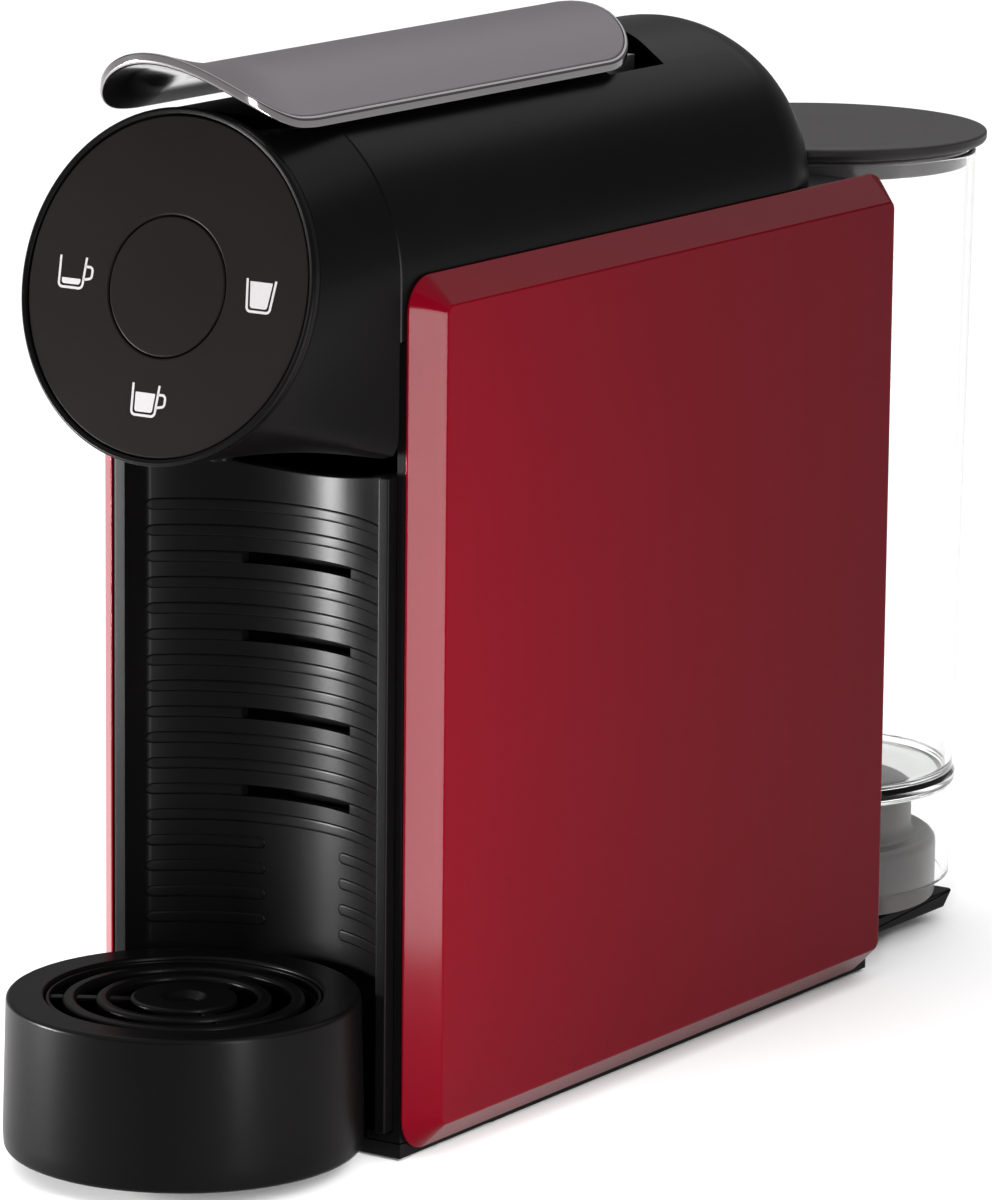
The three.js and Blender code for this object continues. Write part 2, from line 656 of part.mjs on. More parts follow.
function buildBrewGroup([drivePinY, drivePinZ]) {
  const cageRearY = cageFrontY + cageLength;
  const cage = cut(
    turnedY(rod(cageRadius, cageFrontY, cageRearY), 0, brewZ, 28),
    turnedY(rod(cageBore, cageFrontY - 1, cageRearY - 4), 0, brewZ, 24),
    turnedY(rod(1.5, cageRearY - 5, cageRearY + 1), 0, brewZ, 12),
    turnedY(pipe(cageRadius - 1.1, cageRadius + 2, cageFrontY + 5, cageFrontY + 7.5), 0, brewZ, 28, true));
  place('capsule_cage', cage, glassNylon);
  const seal = pipe(cageRadius - 0.8, cageRadius + 0.8, cageFrontY + 5.3, cageFrontY + 7.2);
  place('cage_seal', turnedY(seal, 0, brewZ, 28, true), rubberBlack);

  const tailFrontY = cageRearY + gap;
  const yokeZ = 189;
  const slotHalf = drivePinRadius + 0.8;
  const tail = cut(
    join(
      turnedY(rod(tailRadius, tailFrontY, tailRearY), 0, brewZ, 20),
      slab(8, drivePinY - 5.5, drivePinY + 5.5, yokeZ, brewZ)),
    slab(9, drivePinY - slotHalf, drivePinY + slotHalf, drivePinZ - 6, drivePinZ + 4.5),
    turnedY(rod(1.5, tailFrontY - 1, tailRearY + 1), 0, brewZ, 12));
  place('piston_tail', tail, steel);

  const cheek = [
    [cageFrontY - 5, 188], [60, 188], [60, 236], [45, 236], [36, 254.3], [23, 254.3], [12, 236],
    [cageFrontY - 5, 236],
  ];
  for (const side of [-1, 1]) {
    const [x0, x1] = [side * cheekInnerX, side * (cheekInnerX + cheekThickness)].sort((p, q) => p - q);
    const plate = cut(prismX(cheek, x0, x1),
      turnedX(rod(hingePinRadius + gap, -40, 40), hingeY, hingeZ, 24),
      turnedX(rod(rockerPinRadius + gap, -40, 40), hingeY, rockerZ, 20));
    place(side < 0 ? 'brew_cheek_left' : 'brew_cheek_right', plate, glassNylon);
  }
  const bridge = cut(slab(cheekInnerX - gap, bridgeY, bridgeY + bridgeThickness, 190, 234),
    turnedY(rod(tailRadius + 1.5, bridgeY - 1, bridgeY + 5), 0, brewZ, 24));
  place('frame_bridge', bridge, glassNylon);
  const glandY = bridgeY + bridgeThickness + gap;
  place('feed_gland', turnedY(pipe(tailRadius + gap, 8, glandY, glandY + glandLength), 0, brewZ, 32, true),
    glassNylon);

  const plateRearY = cageFrontY - 0.4;
  const channelZ = brewZ - 16;
  const plate = cut(turnedY(rod(cageRadius, plateRearY - 4, plateRearY), 0, brewZ, 40),
    turnedY(rod(2, plateRearY - 5, plateRearY + 1), 0, channelZ, 12));
  place('outlet_plate', plate, steel);
  const block = cut(slab(8, spoutY - 7, plateRearY - 4 - gap, 187, 200),
    turnedZ(rod(2, 186, channelZ), 0, spoutY, 12),
    turnedY(rod(2, spoutY, plateRearY), 0, channelZ, 12));
  place('outlet_block', block, glassNylon);
  const nozzle = [
    [1.6, spoutTipZ], [spoutRadius, spoutTipZ], [spoutRadius, spoutTipZ + 3.4], [4.6, spoutTipZ + 5],
    [4.6, 186.7], [1.6, 186.7],
  ];
  place('spout_nozzle', turnedZ(nozzle, 0, spoutY, 24, true), dockGrey);
}

// ---- water path and electrics ----

const pump = { z: 45, frontY: 12, rearY: 88, coreRadius: 9, bodyRadius: 18 };
const meter = { y: 98, radius: 10, topZ: 22 };
const heater = { halfX: 20, frontY: 2, rearY: 58, bottomZ: 148, topZ: 176 };
const hoseGap = 0.6;                // from a hose's end to the part it feeds

function buildWaterPath() {
  const body = join(
    turnedY(rod(pump.coreRadius, pump.frontY, pump.rearY), 0, pump.z, 24),
    turnedY(rod(pump.bodyRadius, pump.frontY + 12, pump.rearY - 20), 0, pump.z, 32));
  place('pump', body, castAlloy);
  for (const [name, y] of [['pump_mount_front', pump.frontY + 3], ['pump_mount_rear', pump.rearY - 12]]) {
    const mount = cut(slab(13, y, y + 5, floorTopZ + gap, pump.z + 13),
      turnedY(rod(pump.coreRadius + gap, y - 1, y + 6), 0, pump.z, 24));
    place(name, mount, rubberBlack);
  }
  const block = join(
    slab(heater.halfX, heater.frontY, heater.rearY, heater.bottomZ, heater.topZ),
    slab(heater.halfX - 6, heater.frontY + 6, heater.rearY - 6, heater.topZ - 1, heater.topZ + 6));
  place('thermoblock', block, castAlloy);
  const meterBase = floorTopZ + gap;
  place('flow_meter', join(
    turnedZ(rod(meter.radius, meterBase, meter.topZ), 0, meter.y, 24),
    turnedZ(rod(3, meter.topZ - 1, meter.topZ + 4), 0, meter.y, 16)), glassNylon);

  const pumpInlet = [
    [0, meter.y, meter.topZ + 4 + hoseGap], [0, meter.y, meter.topZ + 9], [0, meter.y + 1, 38],
    [0, pump.rearY + 6, pump.z], [0, pump.rearY + hoseGap, pump.z],
  ];
  place('pump_inlet_hose', tube(pumpInlet, 2.6), hoseWhite);
  const pumpOutlet = [
    [0, pump.frontY - hoseGap, pump.z], [0, pump.frontY - 5, pump.z], [-8, -3, 60], [-14, -5, 90],
    [-14, -5, 140], [-14, -4, 158], [-14, -2, 162], [-14, heater.frontY - hoseGap, 162],
  ];
  place('pump_outlet_hose', tube(pumpOutlet, 2.6), hoseWhite);
  const glandMidY = bridgeY + bridgeThickness + gap + glandLength / 2;
  const brewFeed = [
    [0, heater.rearY + hoseGap, 163], [0, heater.rearY + 5, 163], [0, heater.rearY + 10, 172],
    [0, glandMidY + 3, 188], [0, glandMidY, brewZ - 14], [0, glandMidY, brewZ - 8 - hoseGap],
  ];
  place('brew_feed_hose', tube(brewFeed, 2.6), hoseWhite);
}

function buildElectrics() {
  const boardX = -chassisInnerX + 2.4;
  const board = join(
    box(boardX, boardX + 1.6, 0, 80, 70, 135),
    box(boardX + 1, boardX + 17, 8, 30, 96, 122),
    box(boardX + 1, boardX + 13, 42, 58, 80, 104),
    turnedZ(rod(6, 76, 100), boardX + 7, 70, 20));
  place('power_board', board, boardGreen);
  const outY = backWallY + gap;
  const profile = [
    [gland.boreRadius, outY - 6], [gland.neckRadius, outY - 6], [gland.neckRadius, outY],
    [gland.flangeRadius, outY], [gland.flangeRadius, outY + 1.6], [gland.boreRadius, outY + 2.4],
  ];
  place('cord_gland', turnedY(profile, gland.x, gland.z, 24, true), rubberBlack);
}

// ---- drawer, drip tray and grille ----

const wallY = (radius, x) => trayCentreY + Math.sqrt(radius * radius - x * x);

function drawerPlan() {
  const backRadius = wallRadius + wallThickness;
  const steps = 16;
  const points = [[-drawerX, stripFrontY], [-wallEndX, stripFrontY]];
  for (let i = 0; i <= steps; i++) {
    const x = -wallEndX + (i / steps) * 2 * wallEndX;
    points.push([x, wallY(wallRadius, x)]);
  }
  points.push([wallEndX, stripFrontY], [drawerX, stripFrontY], [drawerX, wallY(backRadius, wallEndX)]);
  for (let i = 0; i <= steps; i++) {
    const x = wallEndX - (i / steps) * 2 * wallEndX;
    points.push([x, wallY(backRadius, x)]);
  }
  points.push([-drawerX, wallY(backRadius, wallEndX)]);
  return points;
}

function buildDrawer() {
  let front = prismZ(drawerPlan(), floorTopZ + gap, wallTopZ);
  const dipRadius = (wallEndX ** 2 + wallDip ** 2) / (2 * wallDip);
  front = cut(front, turnedY(rod(dipRadius, wallY(wallRadius, wallEndX) - 1, -70),
    0, wallTopZ - wallDip + dipRadius, 72));
  const centres = [hookZ];
  for (let i = 0; i < visibleSlots; i++) centres.push(firstSlotZ + i * slotPitch);
  for (const z of centres) {
    front = cut(front, slab(hookHalfWidth + 0.6, -100, -70, z - slotHeight / 2, z + slotHeight / 2));
  }
  place('drawer_front', front, satinBlack);

  const binFrontY = trayCentreY + wallRadius + wallThickness + 3;
  const binX = chassisInnerX - 3.4;
  const bin = cut(slab(binX, binFrontY, binRearY, floorTopZ + 1, binTopZ),
    slab(binX - binWall, binFrontY + binWall, binRearY - binWall, floorTopZ + 1 + binWall, binTopZ + 1));
  place('capsule_bin', bin, satinBlack);
}

function buildTray() {
  const ledgeZ = trayTopZ - 3;
  const profile = [
    [0, trayBottomZ], [trayBottomRadius - 1.5, trayBottomZ], [trayBottomRadius, trayBottomZ + 1.5],
    [trayTopRadius, trayTopZ - 0.8], [trayTopRadius - 0.8, trayTopZ], [trayMouthRadius + 0.3, trayTopZ],
    [trayMouthRadius, trayTopZ - 0.4], [trayMouthRadius, ledgeZ], [trayMouthRadius - 2, ledgeZ],
    [trayMouthRadius - 2, ledgeZ - 1.3], [trayTopRadius - trayWall, ledgeZ - 1.3],
    [trayBottomRadius - trayWall, trayBottomZ + 4], [0, trayBottomZ + 2.4],
  ];
  const hookRootY = wallY(trayTopRadius - trayWall, hookHalfWidth);
  const tipY = trayCentreY + wallRadius + wallThickness;
  const tray = join(turnedZ(profile, 0, trayCentreY, 40),
    slab(hookHalfWidth, hookRootY, tipY, hookZ - hookThickness / 2, hookZ + hookThickness / 2));
  place('drip_tray', tray, satinBlack);

  const topZ = trayTopZ - grilleDrop;
  const lowZ = ledgeZ + gap;
  const ring = (inner, outer, z0, z1) => turnedZ(pipe(inner, outer, z0, z1), 0, trayCentreY, 28, true);
  let grille = join(
    ring(trayMouthRadius - 1.6, trayMouthRadius - gap, lowZ, topZ),
    ring(26.4, 30, lowZ - 0.8, topZ), ring(18.2, 21.6, lowZ - 0.8, topZ),
    turnedZ([[0, lowZ], [13.2, lowZ], [13.2, topZ], [5.2, topZ - 0.4], [4, lowZ + 1], [0, lowZ + 1.4]],
      0, trayCentreY, 24));
  for (const angle of [90, 210, 330]) {
    const spoke = new THREE.BoxGeometry(trayMouthRadius - 12.5, 3, 1)
      .translate((trayMouthRadius + 10.5) / 2, 0, lowZ + 0.5)
      .rotateZ(angle * deg).translate(0, trayCentreY, 0);
    grille = grille.add(solid(spoke));
  }
  place('drip_grille', grille, satinBlack);
}

// ---- tank, lid, valve and dock ----

const tankRadiusAt = (z) => tankBottomRadius
  + ((tankTopRadius - tankBottomRadius) * (z - tankBottomZ)) / (tankTopZ - tankBottomZ);

function buildTank() {
  const floorTop = tankFloorZ + tankFloorThickness;
  const inner = (z) => tankRadiusAt(z) - tankWall;
  const profile = [
    [valveRadius, tankFloorZ], [inner(tankFloorZ), tankFloorZ], [inner(tankBottomZ), tankBottomZ],
    [tankBottomRadius, tankBottomZ], [tankRadiusAt(tankFloorZ), tankFloorZ],
    [tankRadiusAt(tankFloorZ) + 0.6, tankFloorZ + 0.8], [tankRadiusAt(tankFloorZ) + 0.6, floorTop],
    [tankRadiusAt(floorTop), floorTop + 1], [tankTopRadius, tankTopZ], [inner(tankTopZ), tankTopZ],
    [inner(floorTop), floorTop], [valveRadius, floorTop],
  ];
  place('tank', turnedZ(profile, 0, tankCentreY, 36, true), clearTank);

  const lidZ = tankTopZ + gap + 0.6;
  const lid = [
    [0, lidZ], [lidRadius - 3, lidZ], [lidRadius, lidZ + 1.4], [lidRadius - 0.2, lidZ + lidThickness - 0.4],
    [lidRadius - 1.5, lidZ + lidThickness], [lidRadius * 0.64, lidZ + lidThickness - 1.6],
    [0, lidZ + lidThickness - 2.2],
  ];
  place('tank_lid', turnedZ(lid, 0, tankCentreY, 36), leverGrey);
  const collarOuter = tankTopRadius - tankWall - 0.5;
  const collar = pipe(collarOuter - 2, collarOuter, tankTopZ - collarHeight + gap, lidZ - gap);
  place('lid_collar', turnedZ(collar, 0, tankCentreY, 36, true), smokedClear);

  const cageTop = floorTop + 15;
  const guard = cut(
    turnedZ([[9.6, floorTop + gap], [11.2, floorTop + gap], [11.2, cageTop], [2.8, cageTop],
      [2.8, cageTop - 1.6], [9.6, cageTop - 1.6]], 0, tankCentreY, 24, true),
    slab(20, tankCentreY - 2.5, tankCentreY + 2.5, floorTop + 4, cageTop - 4),
    box(-2.5, 2.5, tankCentreY - 20, tankCentreY + 20, floorTop + 4, cageTop - 4));
  place('valve_guard', guard, glassNylon);
  const plunger = join(
    turnedZ(rod(8.4, floorTop + gap, floorTop + 2.2), 0, tankCentreY, 32),
    turnedZ(rod(valveRadius - 2, dockTopZ + gap, floorTop + 1), 0, tankCentreY, 20),
    turnedZ(rod(2.2, floorTop + 2, cageTop + 1), 0, tankCentreY, 16));
  place('tank_valve', plunger, rubberBlack);
  const springTop = cageTop - 1.6 - gap;
  const spring = coil(4.4, 0.45, floorTop + 2.2 + 0.8, springTop - 0.5, 4);
  place('valve_spring', spring.translate([0, tankCentreY, 0]), steel);
}

function buildDock() {
  const dock = cut(
    turnedZ([[0, dockBottomZ], [dockRadius, dockBottomZ], [dockRadius, dockShoulderZ - 3],
      [dockRadius - 3, dockShoulderZ], [dockNeckRadius, dockShoulderZ], [dockNeckRadius, dockTopZ - 1.5],
      [dockNeckRadius - 1.5, dockTopZ], [0, dockTopZ]], 0, tankCentreY, 28),
    turnedZ(pipe(3.6, 9, dockTopZ - 5, dockTopZ + 1), 0, tankCentreY, 24, true),
    turnedZ(rod(2, inletHose.z - 2, dockTopZ), 0, tankCentreY, 12),
    turnedY(rod(2, tankCentreY - dockRadius - 1, tankCentreY), 0, inletHose.z, 12));
  place('tank_dock', dock, dockGrey);
  place('dock_seal', turnedZ(pipe(4.6, 8.7, dockTopZ - 4.7, dockTopZ - 0.8), 0, tankCentreY, 24, true),
    rubberBlack);
  const footOutline = [
    [panelRearY, rearFoot.bottomZ], [rearFoot.bottomRearY, rearFoot.bottomZ],
    [rearFoot.topRearY, dockBottomZ - gap], [panelRearY, dockBottomZ - gap],
  ];
  place('dock_base', prismX(footOutline, -rearFoot.halfX, rearFoot.halfX), satinBlack);
  const dockFrontY = tankCentreY - dockRadius;
  const hose = rod(inletHose.radius, meter.y + meter.radius + hoseGap, dockFrontY - hoseGap);
  place('inlet_hose', turnedY(hose, 0, inletHose.z, 16), hoseWhite);
}

buildBase();
buildChassis();
buildPanel(-1);
buildPanel(1);
buildHood();
buildHead();
buildFace();
buildLever();
buildBrewGroup(buildRocker());
buildWaterPath();
buildElectrics();
buildDrawer();
buildTray();
buildTank();
buildDock();

machine.add(face);
machine.position.y = -overallMidY;

const group = new THREE.Group();
group.add(machine);

export default group;
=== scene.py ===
import json
import math

import bmesh
import bpy
from mathutils import Matrix, Vector


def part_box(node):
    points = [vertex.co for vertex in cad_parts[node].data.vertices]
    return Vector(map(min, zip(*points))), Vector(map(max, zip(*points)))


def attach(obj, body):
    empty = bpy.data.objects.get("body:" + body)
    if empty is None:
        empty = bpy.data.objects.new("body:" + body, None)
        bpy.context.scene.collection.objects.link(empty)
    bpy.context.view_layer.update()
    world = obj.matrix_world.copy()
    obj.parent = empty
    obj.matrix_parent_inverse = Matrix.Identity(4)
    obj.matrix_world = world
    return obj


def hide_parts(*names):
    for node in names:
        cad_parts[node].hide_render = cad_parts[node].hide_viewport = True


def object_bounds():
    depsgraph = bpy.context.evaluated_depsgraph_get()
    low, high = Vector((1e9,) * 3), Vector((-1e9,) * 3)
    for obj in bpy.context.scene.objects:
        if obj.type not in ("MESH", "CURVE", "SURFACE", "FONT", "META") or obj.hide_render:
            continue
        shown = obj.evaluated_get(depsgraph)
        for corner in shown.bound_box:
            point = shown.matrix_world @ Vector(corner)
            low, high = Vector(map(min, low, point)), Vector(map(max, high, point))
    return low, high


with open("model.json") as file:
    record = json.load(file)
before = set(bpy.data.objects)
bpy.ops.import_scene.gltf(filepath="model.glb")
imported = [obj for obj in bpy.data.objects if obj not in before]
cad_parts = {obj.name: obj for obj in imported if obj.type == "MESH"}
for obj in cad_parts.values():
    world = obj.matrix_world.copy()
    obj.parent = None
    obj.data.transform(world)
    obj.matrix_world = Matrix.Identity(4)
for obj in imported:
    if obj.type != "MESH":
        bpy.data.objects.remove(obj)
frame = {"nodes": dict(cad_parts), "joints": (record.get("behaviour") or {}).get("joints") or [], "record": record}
cadLow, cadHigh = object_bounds()

# Shapes below are worked out in millimetres and scaled when a mesh is made.
metre = 0.001
# the room kept between neighbouring pieces
gap = 0.3


def box(node):
    low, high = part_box(node)
    return low / metre, high / metre


def middle(node):
    low, high = box(node)
    return (low + high) / 2


# a socket that can be used in sums
class Wire:
    def __init__(self, paint, socket):
        self.paint = paint
        self.socket = socket

    def sum(self, operation, first, second):
        return self.paint.node("ShaderNodeMath", {"operation": operation}, {0: first, 1: second})

    def __add__(self, other):
        return self.sum("ADD", self, other)

    def __radd__(self, other):
        return self.sum("ADD", other, self)

    def __sub__(self, other):
        return self.sum("SUBTRACT", self, other)

    def __rsub__(self, other):
        return self.sum("SUBTRACT", other, self)

    def __mul__(self, other):
        return self.sum("MULTIPLY", self, other)

    def __rmul__(self, other):
        return self.sum("MULTIPLY", other, self)


# a material whose nodes are made and joined by name
class Paint:
    def __init__(self, name):
        self.material = bpy.data.materials.new(name)
        self.material.use_nodes = True
        self.tree = self.material.node_tree
        self.shader = self.tree.nodes["Principled BSDF"]
        self.place = self.node("ShaderNodeTexCoord", {}, {}, "Object")

    def node(self, kind, settings, sockets, output=0):
        made = self.tree.nodes.new(kind)
        for name, value in settings.items():
            if name == "stops":
                for index, (position, grey) in enumerate(value):
                    stop = made.color_ramp.elements[index]
                    stop.position = position
                    stop.color = (grey, grey, grey, 1)
            else:
                setattr(made, name, value)
        for name, value in sockets.items():
            self.feed(made.inputs[name], value)
        return Wire(self, made.outputs[output])

    def feed(self, socket, value):
        if isinstance(value, Wire):
            self.tree.links.new(value.socket, socket)
        else:
            socket.default_value = value

    def set(self, name, value):
        self.feed(self.shader.inputs[name], value)

    def noise(self, perMetre, detail=2.0, stretch=None):
        place = self.place
        if stretch:
            place = self.node("ShaderNodeMapping", {}, {"Vector": place, "Scale": stretch})
        sockets = {"Vector": place, "Scale": perMetre, "Detail": detail}
        return self.node("ShaderNodeTexNoise", {}, sockets)

    def blend(self, factor, first, second):
        sockets = {0: factor, 6: (*first, 1), 7: (*second, 1)}
        return self.node("ShaderNodeMix", {"data_type": "RGBA"}, sockets, 2)

    def bump(self, height, depth, strength=1.0):
        return self.node("ShaderNodeBump", {}, {"Strength": strength, "Distance": depth, "Height": height})


# colour and its partner are linear, rough is a range, grain is bumps per metre, depth is in metres
finishes = {
    "panel_red": {"colour": (0.089, 0.0005, 0.0043), "partner": (0.083, 0.0004, 0.0038),
                  "rough": (0.1, 0.16), "grain": 420, "depth": 0.000012, "specular": 0.033},
    "shell_black": {"colour": (0.0016, 0.0014, 0.0015), "partner": (0.0024, 0.0021, 0.0022),
                    "rough": (0.27, 0.35), "grain": 4200, "depth": 0.000008, "specular": 0.036},
    "face_black": {"colour": (0.0042, 0.0034, 0.0032), "partner": (0.0048, 0.004, 0.0037),
                   "rough": (0.32, 0.4), "grain": 5200, "depth": 0.000005, "specular": 0.026},
    "icon_white": {"colour": (0.2, 0.19, 0.195), "partner": (0.23, 0.22, 0.225),
                   "rough": (0.42, 0.5), "grain": 3000, "depth": 0.000003, "specular": 0.3},
    "lever_chrome": {"colour": (0.19, 0.18, 0.185), "partner": (0.16, 0.15, 0.155), "metal": 1.0,
                     "rough": (0.07, 0.13), "grain": 300, "depth": 0.000004, "specular": 0.5},
    "lever_grey": {"colour": (0.1, 0.086, 0.095), "partner": (0.115, 0.1, 0.108), "metal": 0.2,
                   "rough": (0.34, 0.42), "grain": 6500, "depth": 0.000006, "specular": 0.15},
    "lid_dark": {"colour": (0.016, 0.0135, 0.0138), "partner": (0.02, 0.017, 0.0175),
                 "rough": (0.4, 0.5), "grain": 3800, "depth": 0.000012, "specular": 0.16},
    "collar_smoke": {"colour": (0.16, 0.15, 0.155), "partner": (0.2, 0.19, 0.195),
                     "rough": (0.22, 0.3), "grain": 900, "depth": 0.000006, "specular": 0.4},
    "dock_grey": {"colour": (0.078, 0.07, 0.069), "partner": (0.092, 0.084, 0.082),
                  "rough": (0.36, 0.48), "grain": 3600, "depth": 0.000012, "specular": 0.35},
    "board_green": {"colour": (0.012, 0.09, 0.035), "partner": (0.02, 0.12, 0.05),
                    "rough": (0.3, 0.5), "grain": 700, "depth": 0.00002, "specular": 0.5},
    "steel": {"colour": (0.5, 0.5, 0.51), "partner": (0.62, 0.62, 0.63), "metal": 1.0,
              "rough": (0.24, 0.4), "grain": 1500, "depth": 0.000012, "specular": 0.5,
              "stretch": (1, 0.05, 1)},
    "cast_alloy": {"colour": (0.45, 0.45, 0.44), "partner": (0.56, 0.56, 0.55), "metal": 1.0,
                   "rough": (0.42, 0.62), "grain": 1800, "depth": 0.00006, "specular": 0.5},
    "rubber": {"colour": (0.008, 0.008, 0.008), "partner": (0.013, 0.013, 0.013),
               "rough": (0.68, 0.85), "grain": 2600, "depth": 0.00003, "specular": 0.3},
    "hose": {"colour": (0.66, 0.65, 0.6), "partner": (0.73, 0.72, 0.68),
             "rough": (0.35, 0.5), "grain": 900, "depth": 0.00001, "specular": 0.4},
    "nylon": {"colour": (0.46, 0.43, 0.36), "partner": (0.52, 0.49, 0.42),
              "rough": (0.45, 0.6), "grain": 1600, "depth": 0.00003, "specular": 0.4},
}
painted = {}


def makeFinish(name, look):
    paint = Paint(name)
    cloud = paint.noise(28, 3.0)
    grain = paint.noise(look["grain"], 2.0, look.get("stretch"))
    low, high = look["rough"]
    paint.set("Base Color", paint.blend(cloud, look["colour"], look["partner"]))
    paint.set("Roughness", (0.65 * cloud + 0.35 * grain) * (high - low) + low)
    paint.set("Normal", paint.bump(grain, look["depth"]))
    paint.set("Metallic", look.get("metal", 0.0))
    paint.set("Specular IOR Level", look["specular"])
    return paint.material


def makeClear(name):
    # clear moulded plastic with the faintest flow lines, and painted grey shade along its edge-on rims
    paint = Paint(name)
    flow = paint.noise(60, 2.0, (1, 1, 0.15))
    # painted shade: the colour turns grey where the wall is seen edge-on, standing in for the dark rims of the
    # clear walls
    paintedRimShadeFacing = paint.node("ShaderNodeLayerWeight", {}, {"Blend": 0.5}, 1)
    steep = paint.node("ShaderNodeMath", {"operation": "POWER"}, {0: paintedRimShadeFacing, 1: 4.0})
    paint.set("Base Color", paint.blend(steep, (0.985, 0.99, 0.985), (0.42, 0.42, 0.41)))
    paint.set("Roughness", 0.02 + 0.03 * flow)
    paint.set("Normal", paint.bump(flow, 0.00002, 0.4))
    paint.set("Transmission Weight", 1.0)
    paint.set("IOR", 1.3)
    return paint.material


for finishName, finishLook in finishes.items():
    painted[finishName] = makeFinish(finishName, finishLook)
painted["tank_clear"] = makeClear("tank_clear")
print("finishes made:", len(painted))


def fillet(points, radii, steps=5, closed=False):
    # rounds the corners of a line of 2-D points
    if not hasattr(radii, "__len__"):
        radii = [radii] * len(points)
    made = []
    count = len(points)
    for index, point in enumerate(points):
        here = Vector(point)
        radius = radii[index]
        if radius <= 0 or (not closed and index in (0, count - 1)):
            made.append(here)
            continue
        back = Vector(points[index - 1]) - here
        ahead = Vector(points[(index + 1) % count]) - here
        if back.length < 1e-9 or ahead.length < 1e-9:
            made.append(here)
            continue
        angle = back.angle(ahead)
        if angle > math.pi - 0.02:
            made.append(here)
            continue
        reach = min(radius / math.tan(angle / 2), back.length * 0.49, ahead.length * 0.49)
        radius = reach * math.tan(angle / 2)
        start = here + back.normalized() * reach
        end = here + ahead.normalized() * reach
        bisector = (back.normalized() + ahead.normalized()).normalized()
        centre = here + bisector * (radius / math.sin(angle / 2))
        for step in range(steps + 1):
            share = step / steps
            arm = (start - centre).lerp(end - centre, share)
            made.append(centre + arm.normalized() * radius)
    return made


def tubeMesh(rings, loop=True, capStart=False, capEnd=False, around=False):
    # joins rings of equal count; loop closes each ring, around joins the last ring to the first
    count = len(rings[0])
    verts = [vert for ring in rings for vert in ring]
    faces = []
    last = len(rings) if around else len(rings) - 1
    for low in range(last):
        high = (low + 1) % len(rings)
        for index in range(count if loop else count - 1):
            after = (index + 1) % count
            faces.append((low * count + index, low * count + after,
                          high * count + after, high * count + index))
    if capStart:
        faces.append(tuple(reversed(range(count))))
    if capEnd:
        faces.append(tuple(range((len(rings) - 1) * count, len(rings) * count)))
    return verts, faces


def turnedMesh(profile, segments, closed=False):
    # turned about Z from (radius, height) pairs
    rings = []
    for index in range(segments):
        turn = 2 * math.pi * index / segments
        rings.append([Vector((r * math.cos(turn), r * math.sin(turn), h)) for r, h in profile])
    return tubeMesh(rings, loop=closed, around=True)


def moved(mesh, matrix):
    verts, faces = mesh
    return [matrix @ vert for vert in verts], faces


def joined(*meshes):
    verts, faces = [], []
    for moreVerts, moreFaces in meshes:
        start = len(verts)
        verts += moreVerts
        faces += [tuple(start + index for index in face) for face in moreFaces]
    return verts, faces


def prismMesh(outline, low, high, edge=0.5, steps=3):
    # an upright prism whose top and bottom edges are rounded; edge is the rounding's radius
    heights = []
    for step in range(steps + 1):
        turn = math.pi / 2 * step / steps
        heights.append((edge * (1 - math.sin(turn)), low + edge * (1 - math.cos(turn))))
    for step in range(steps + 1):
        turn = math.pi / 2 * (1 - step / steps)
        heights.append((edge * (1 - math.sin(turn)), high - edge * (1 - math.cos(turn))))
    rings = []
    for inset, height in heights:
        rings.append([Vector((x, y, height)) for x, y in shrunk(outline, inset)])
    return tubeMesh(rings, capStart=True, capEnd=True)


def shrunk(outline, inset):
    # moves each side of a closed outline inwards; the outline runs anticlockwise
    if inset == 0:
        return [Vector(point) for point in outline]
    made = []
    count = len(outline)
    for index in range(count):
        here = Vector(outline[index])
        before = (here - Vector(outline[index - 1])).normalized()
        after = (Vector(outline[(index + 1) % count]) - here).normalized()
        normal = Vector((-before.y - after.y, before.x + after.x))
        if normal.length < 1e-9:
            made.append(here)
            continue
        normal.normalize()
        cosine = max(0.35, normal.dot(Vector((-after.y, after.x))))
        made.append(here + normal * (inset / cosine))
    return made


seam = {"weld": 1e-4, "cutWeld": 2e-3, "cutAngle": 50, "sharp": 32}


def addPiece(name, mesh, finish, body, hides=(), sharp=seam["sharp"]):
    verts, faces = mesh
    data = bpy.data.meshes.new(name)
    data.from_pydata([vert * metre for vert in verts], [], faces)
    work = bmesh.new()
    work.from_mesh(data)
    bmesh.ops.remove_doubles(work, verts=work.verts, dist=seam["weld"] * metre)
    bmesh.ops.dissolve_degenerate(work, edges=work.edges, dist=seam["weld"] * metre)
    bmesh.ops.recalc_face_normals(work, faces=work.faces)
    work.to_mesh(data)
    work.free()
    piece = bpy.data.objects.new(name, data)
    bpy.context.collection.objects.link(piece)
    dress(piece, finish, body, hides, sharp)
    return piece


def dress(piece, finish, body, hides, sharp):
    data = piece.data
    data.materials.clear()
    data.materials.append(painted[finish])
    data.polygons.foreach_set("use_smooth", [True] * len(data.polygons))
    data.set_sharp_from_angle(angle=math.radians(sharp))
    if body:
        even = piece.modifiers.new("evenShading", "WEIGHTED_NORMAL")
        even.keep_sharp = True
        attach(piece, body)
        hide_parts(*hides)


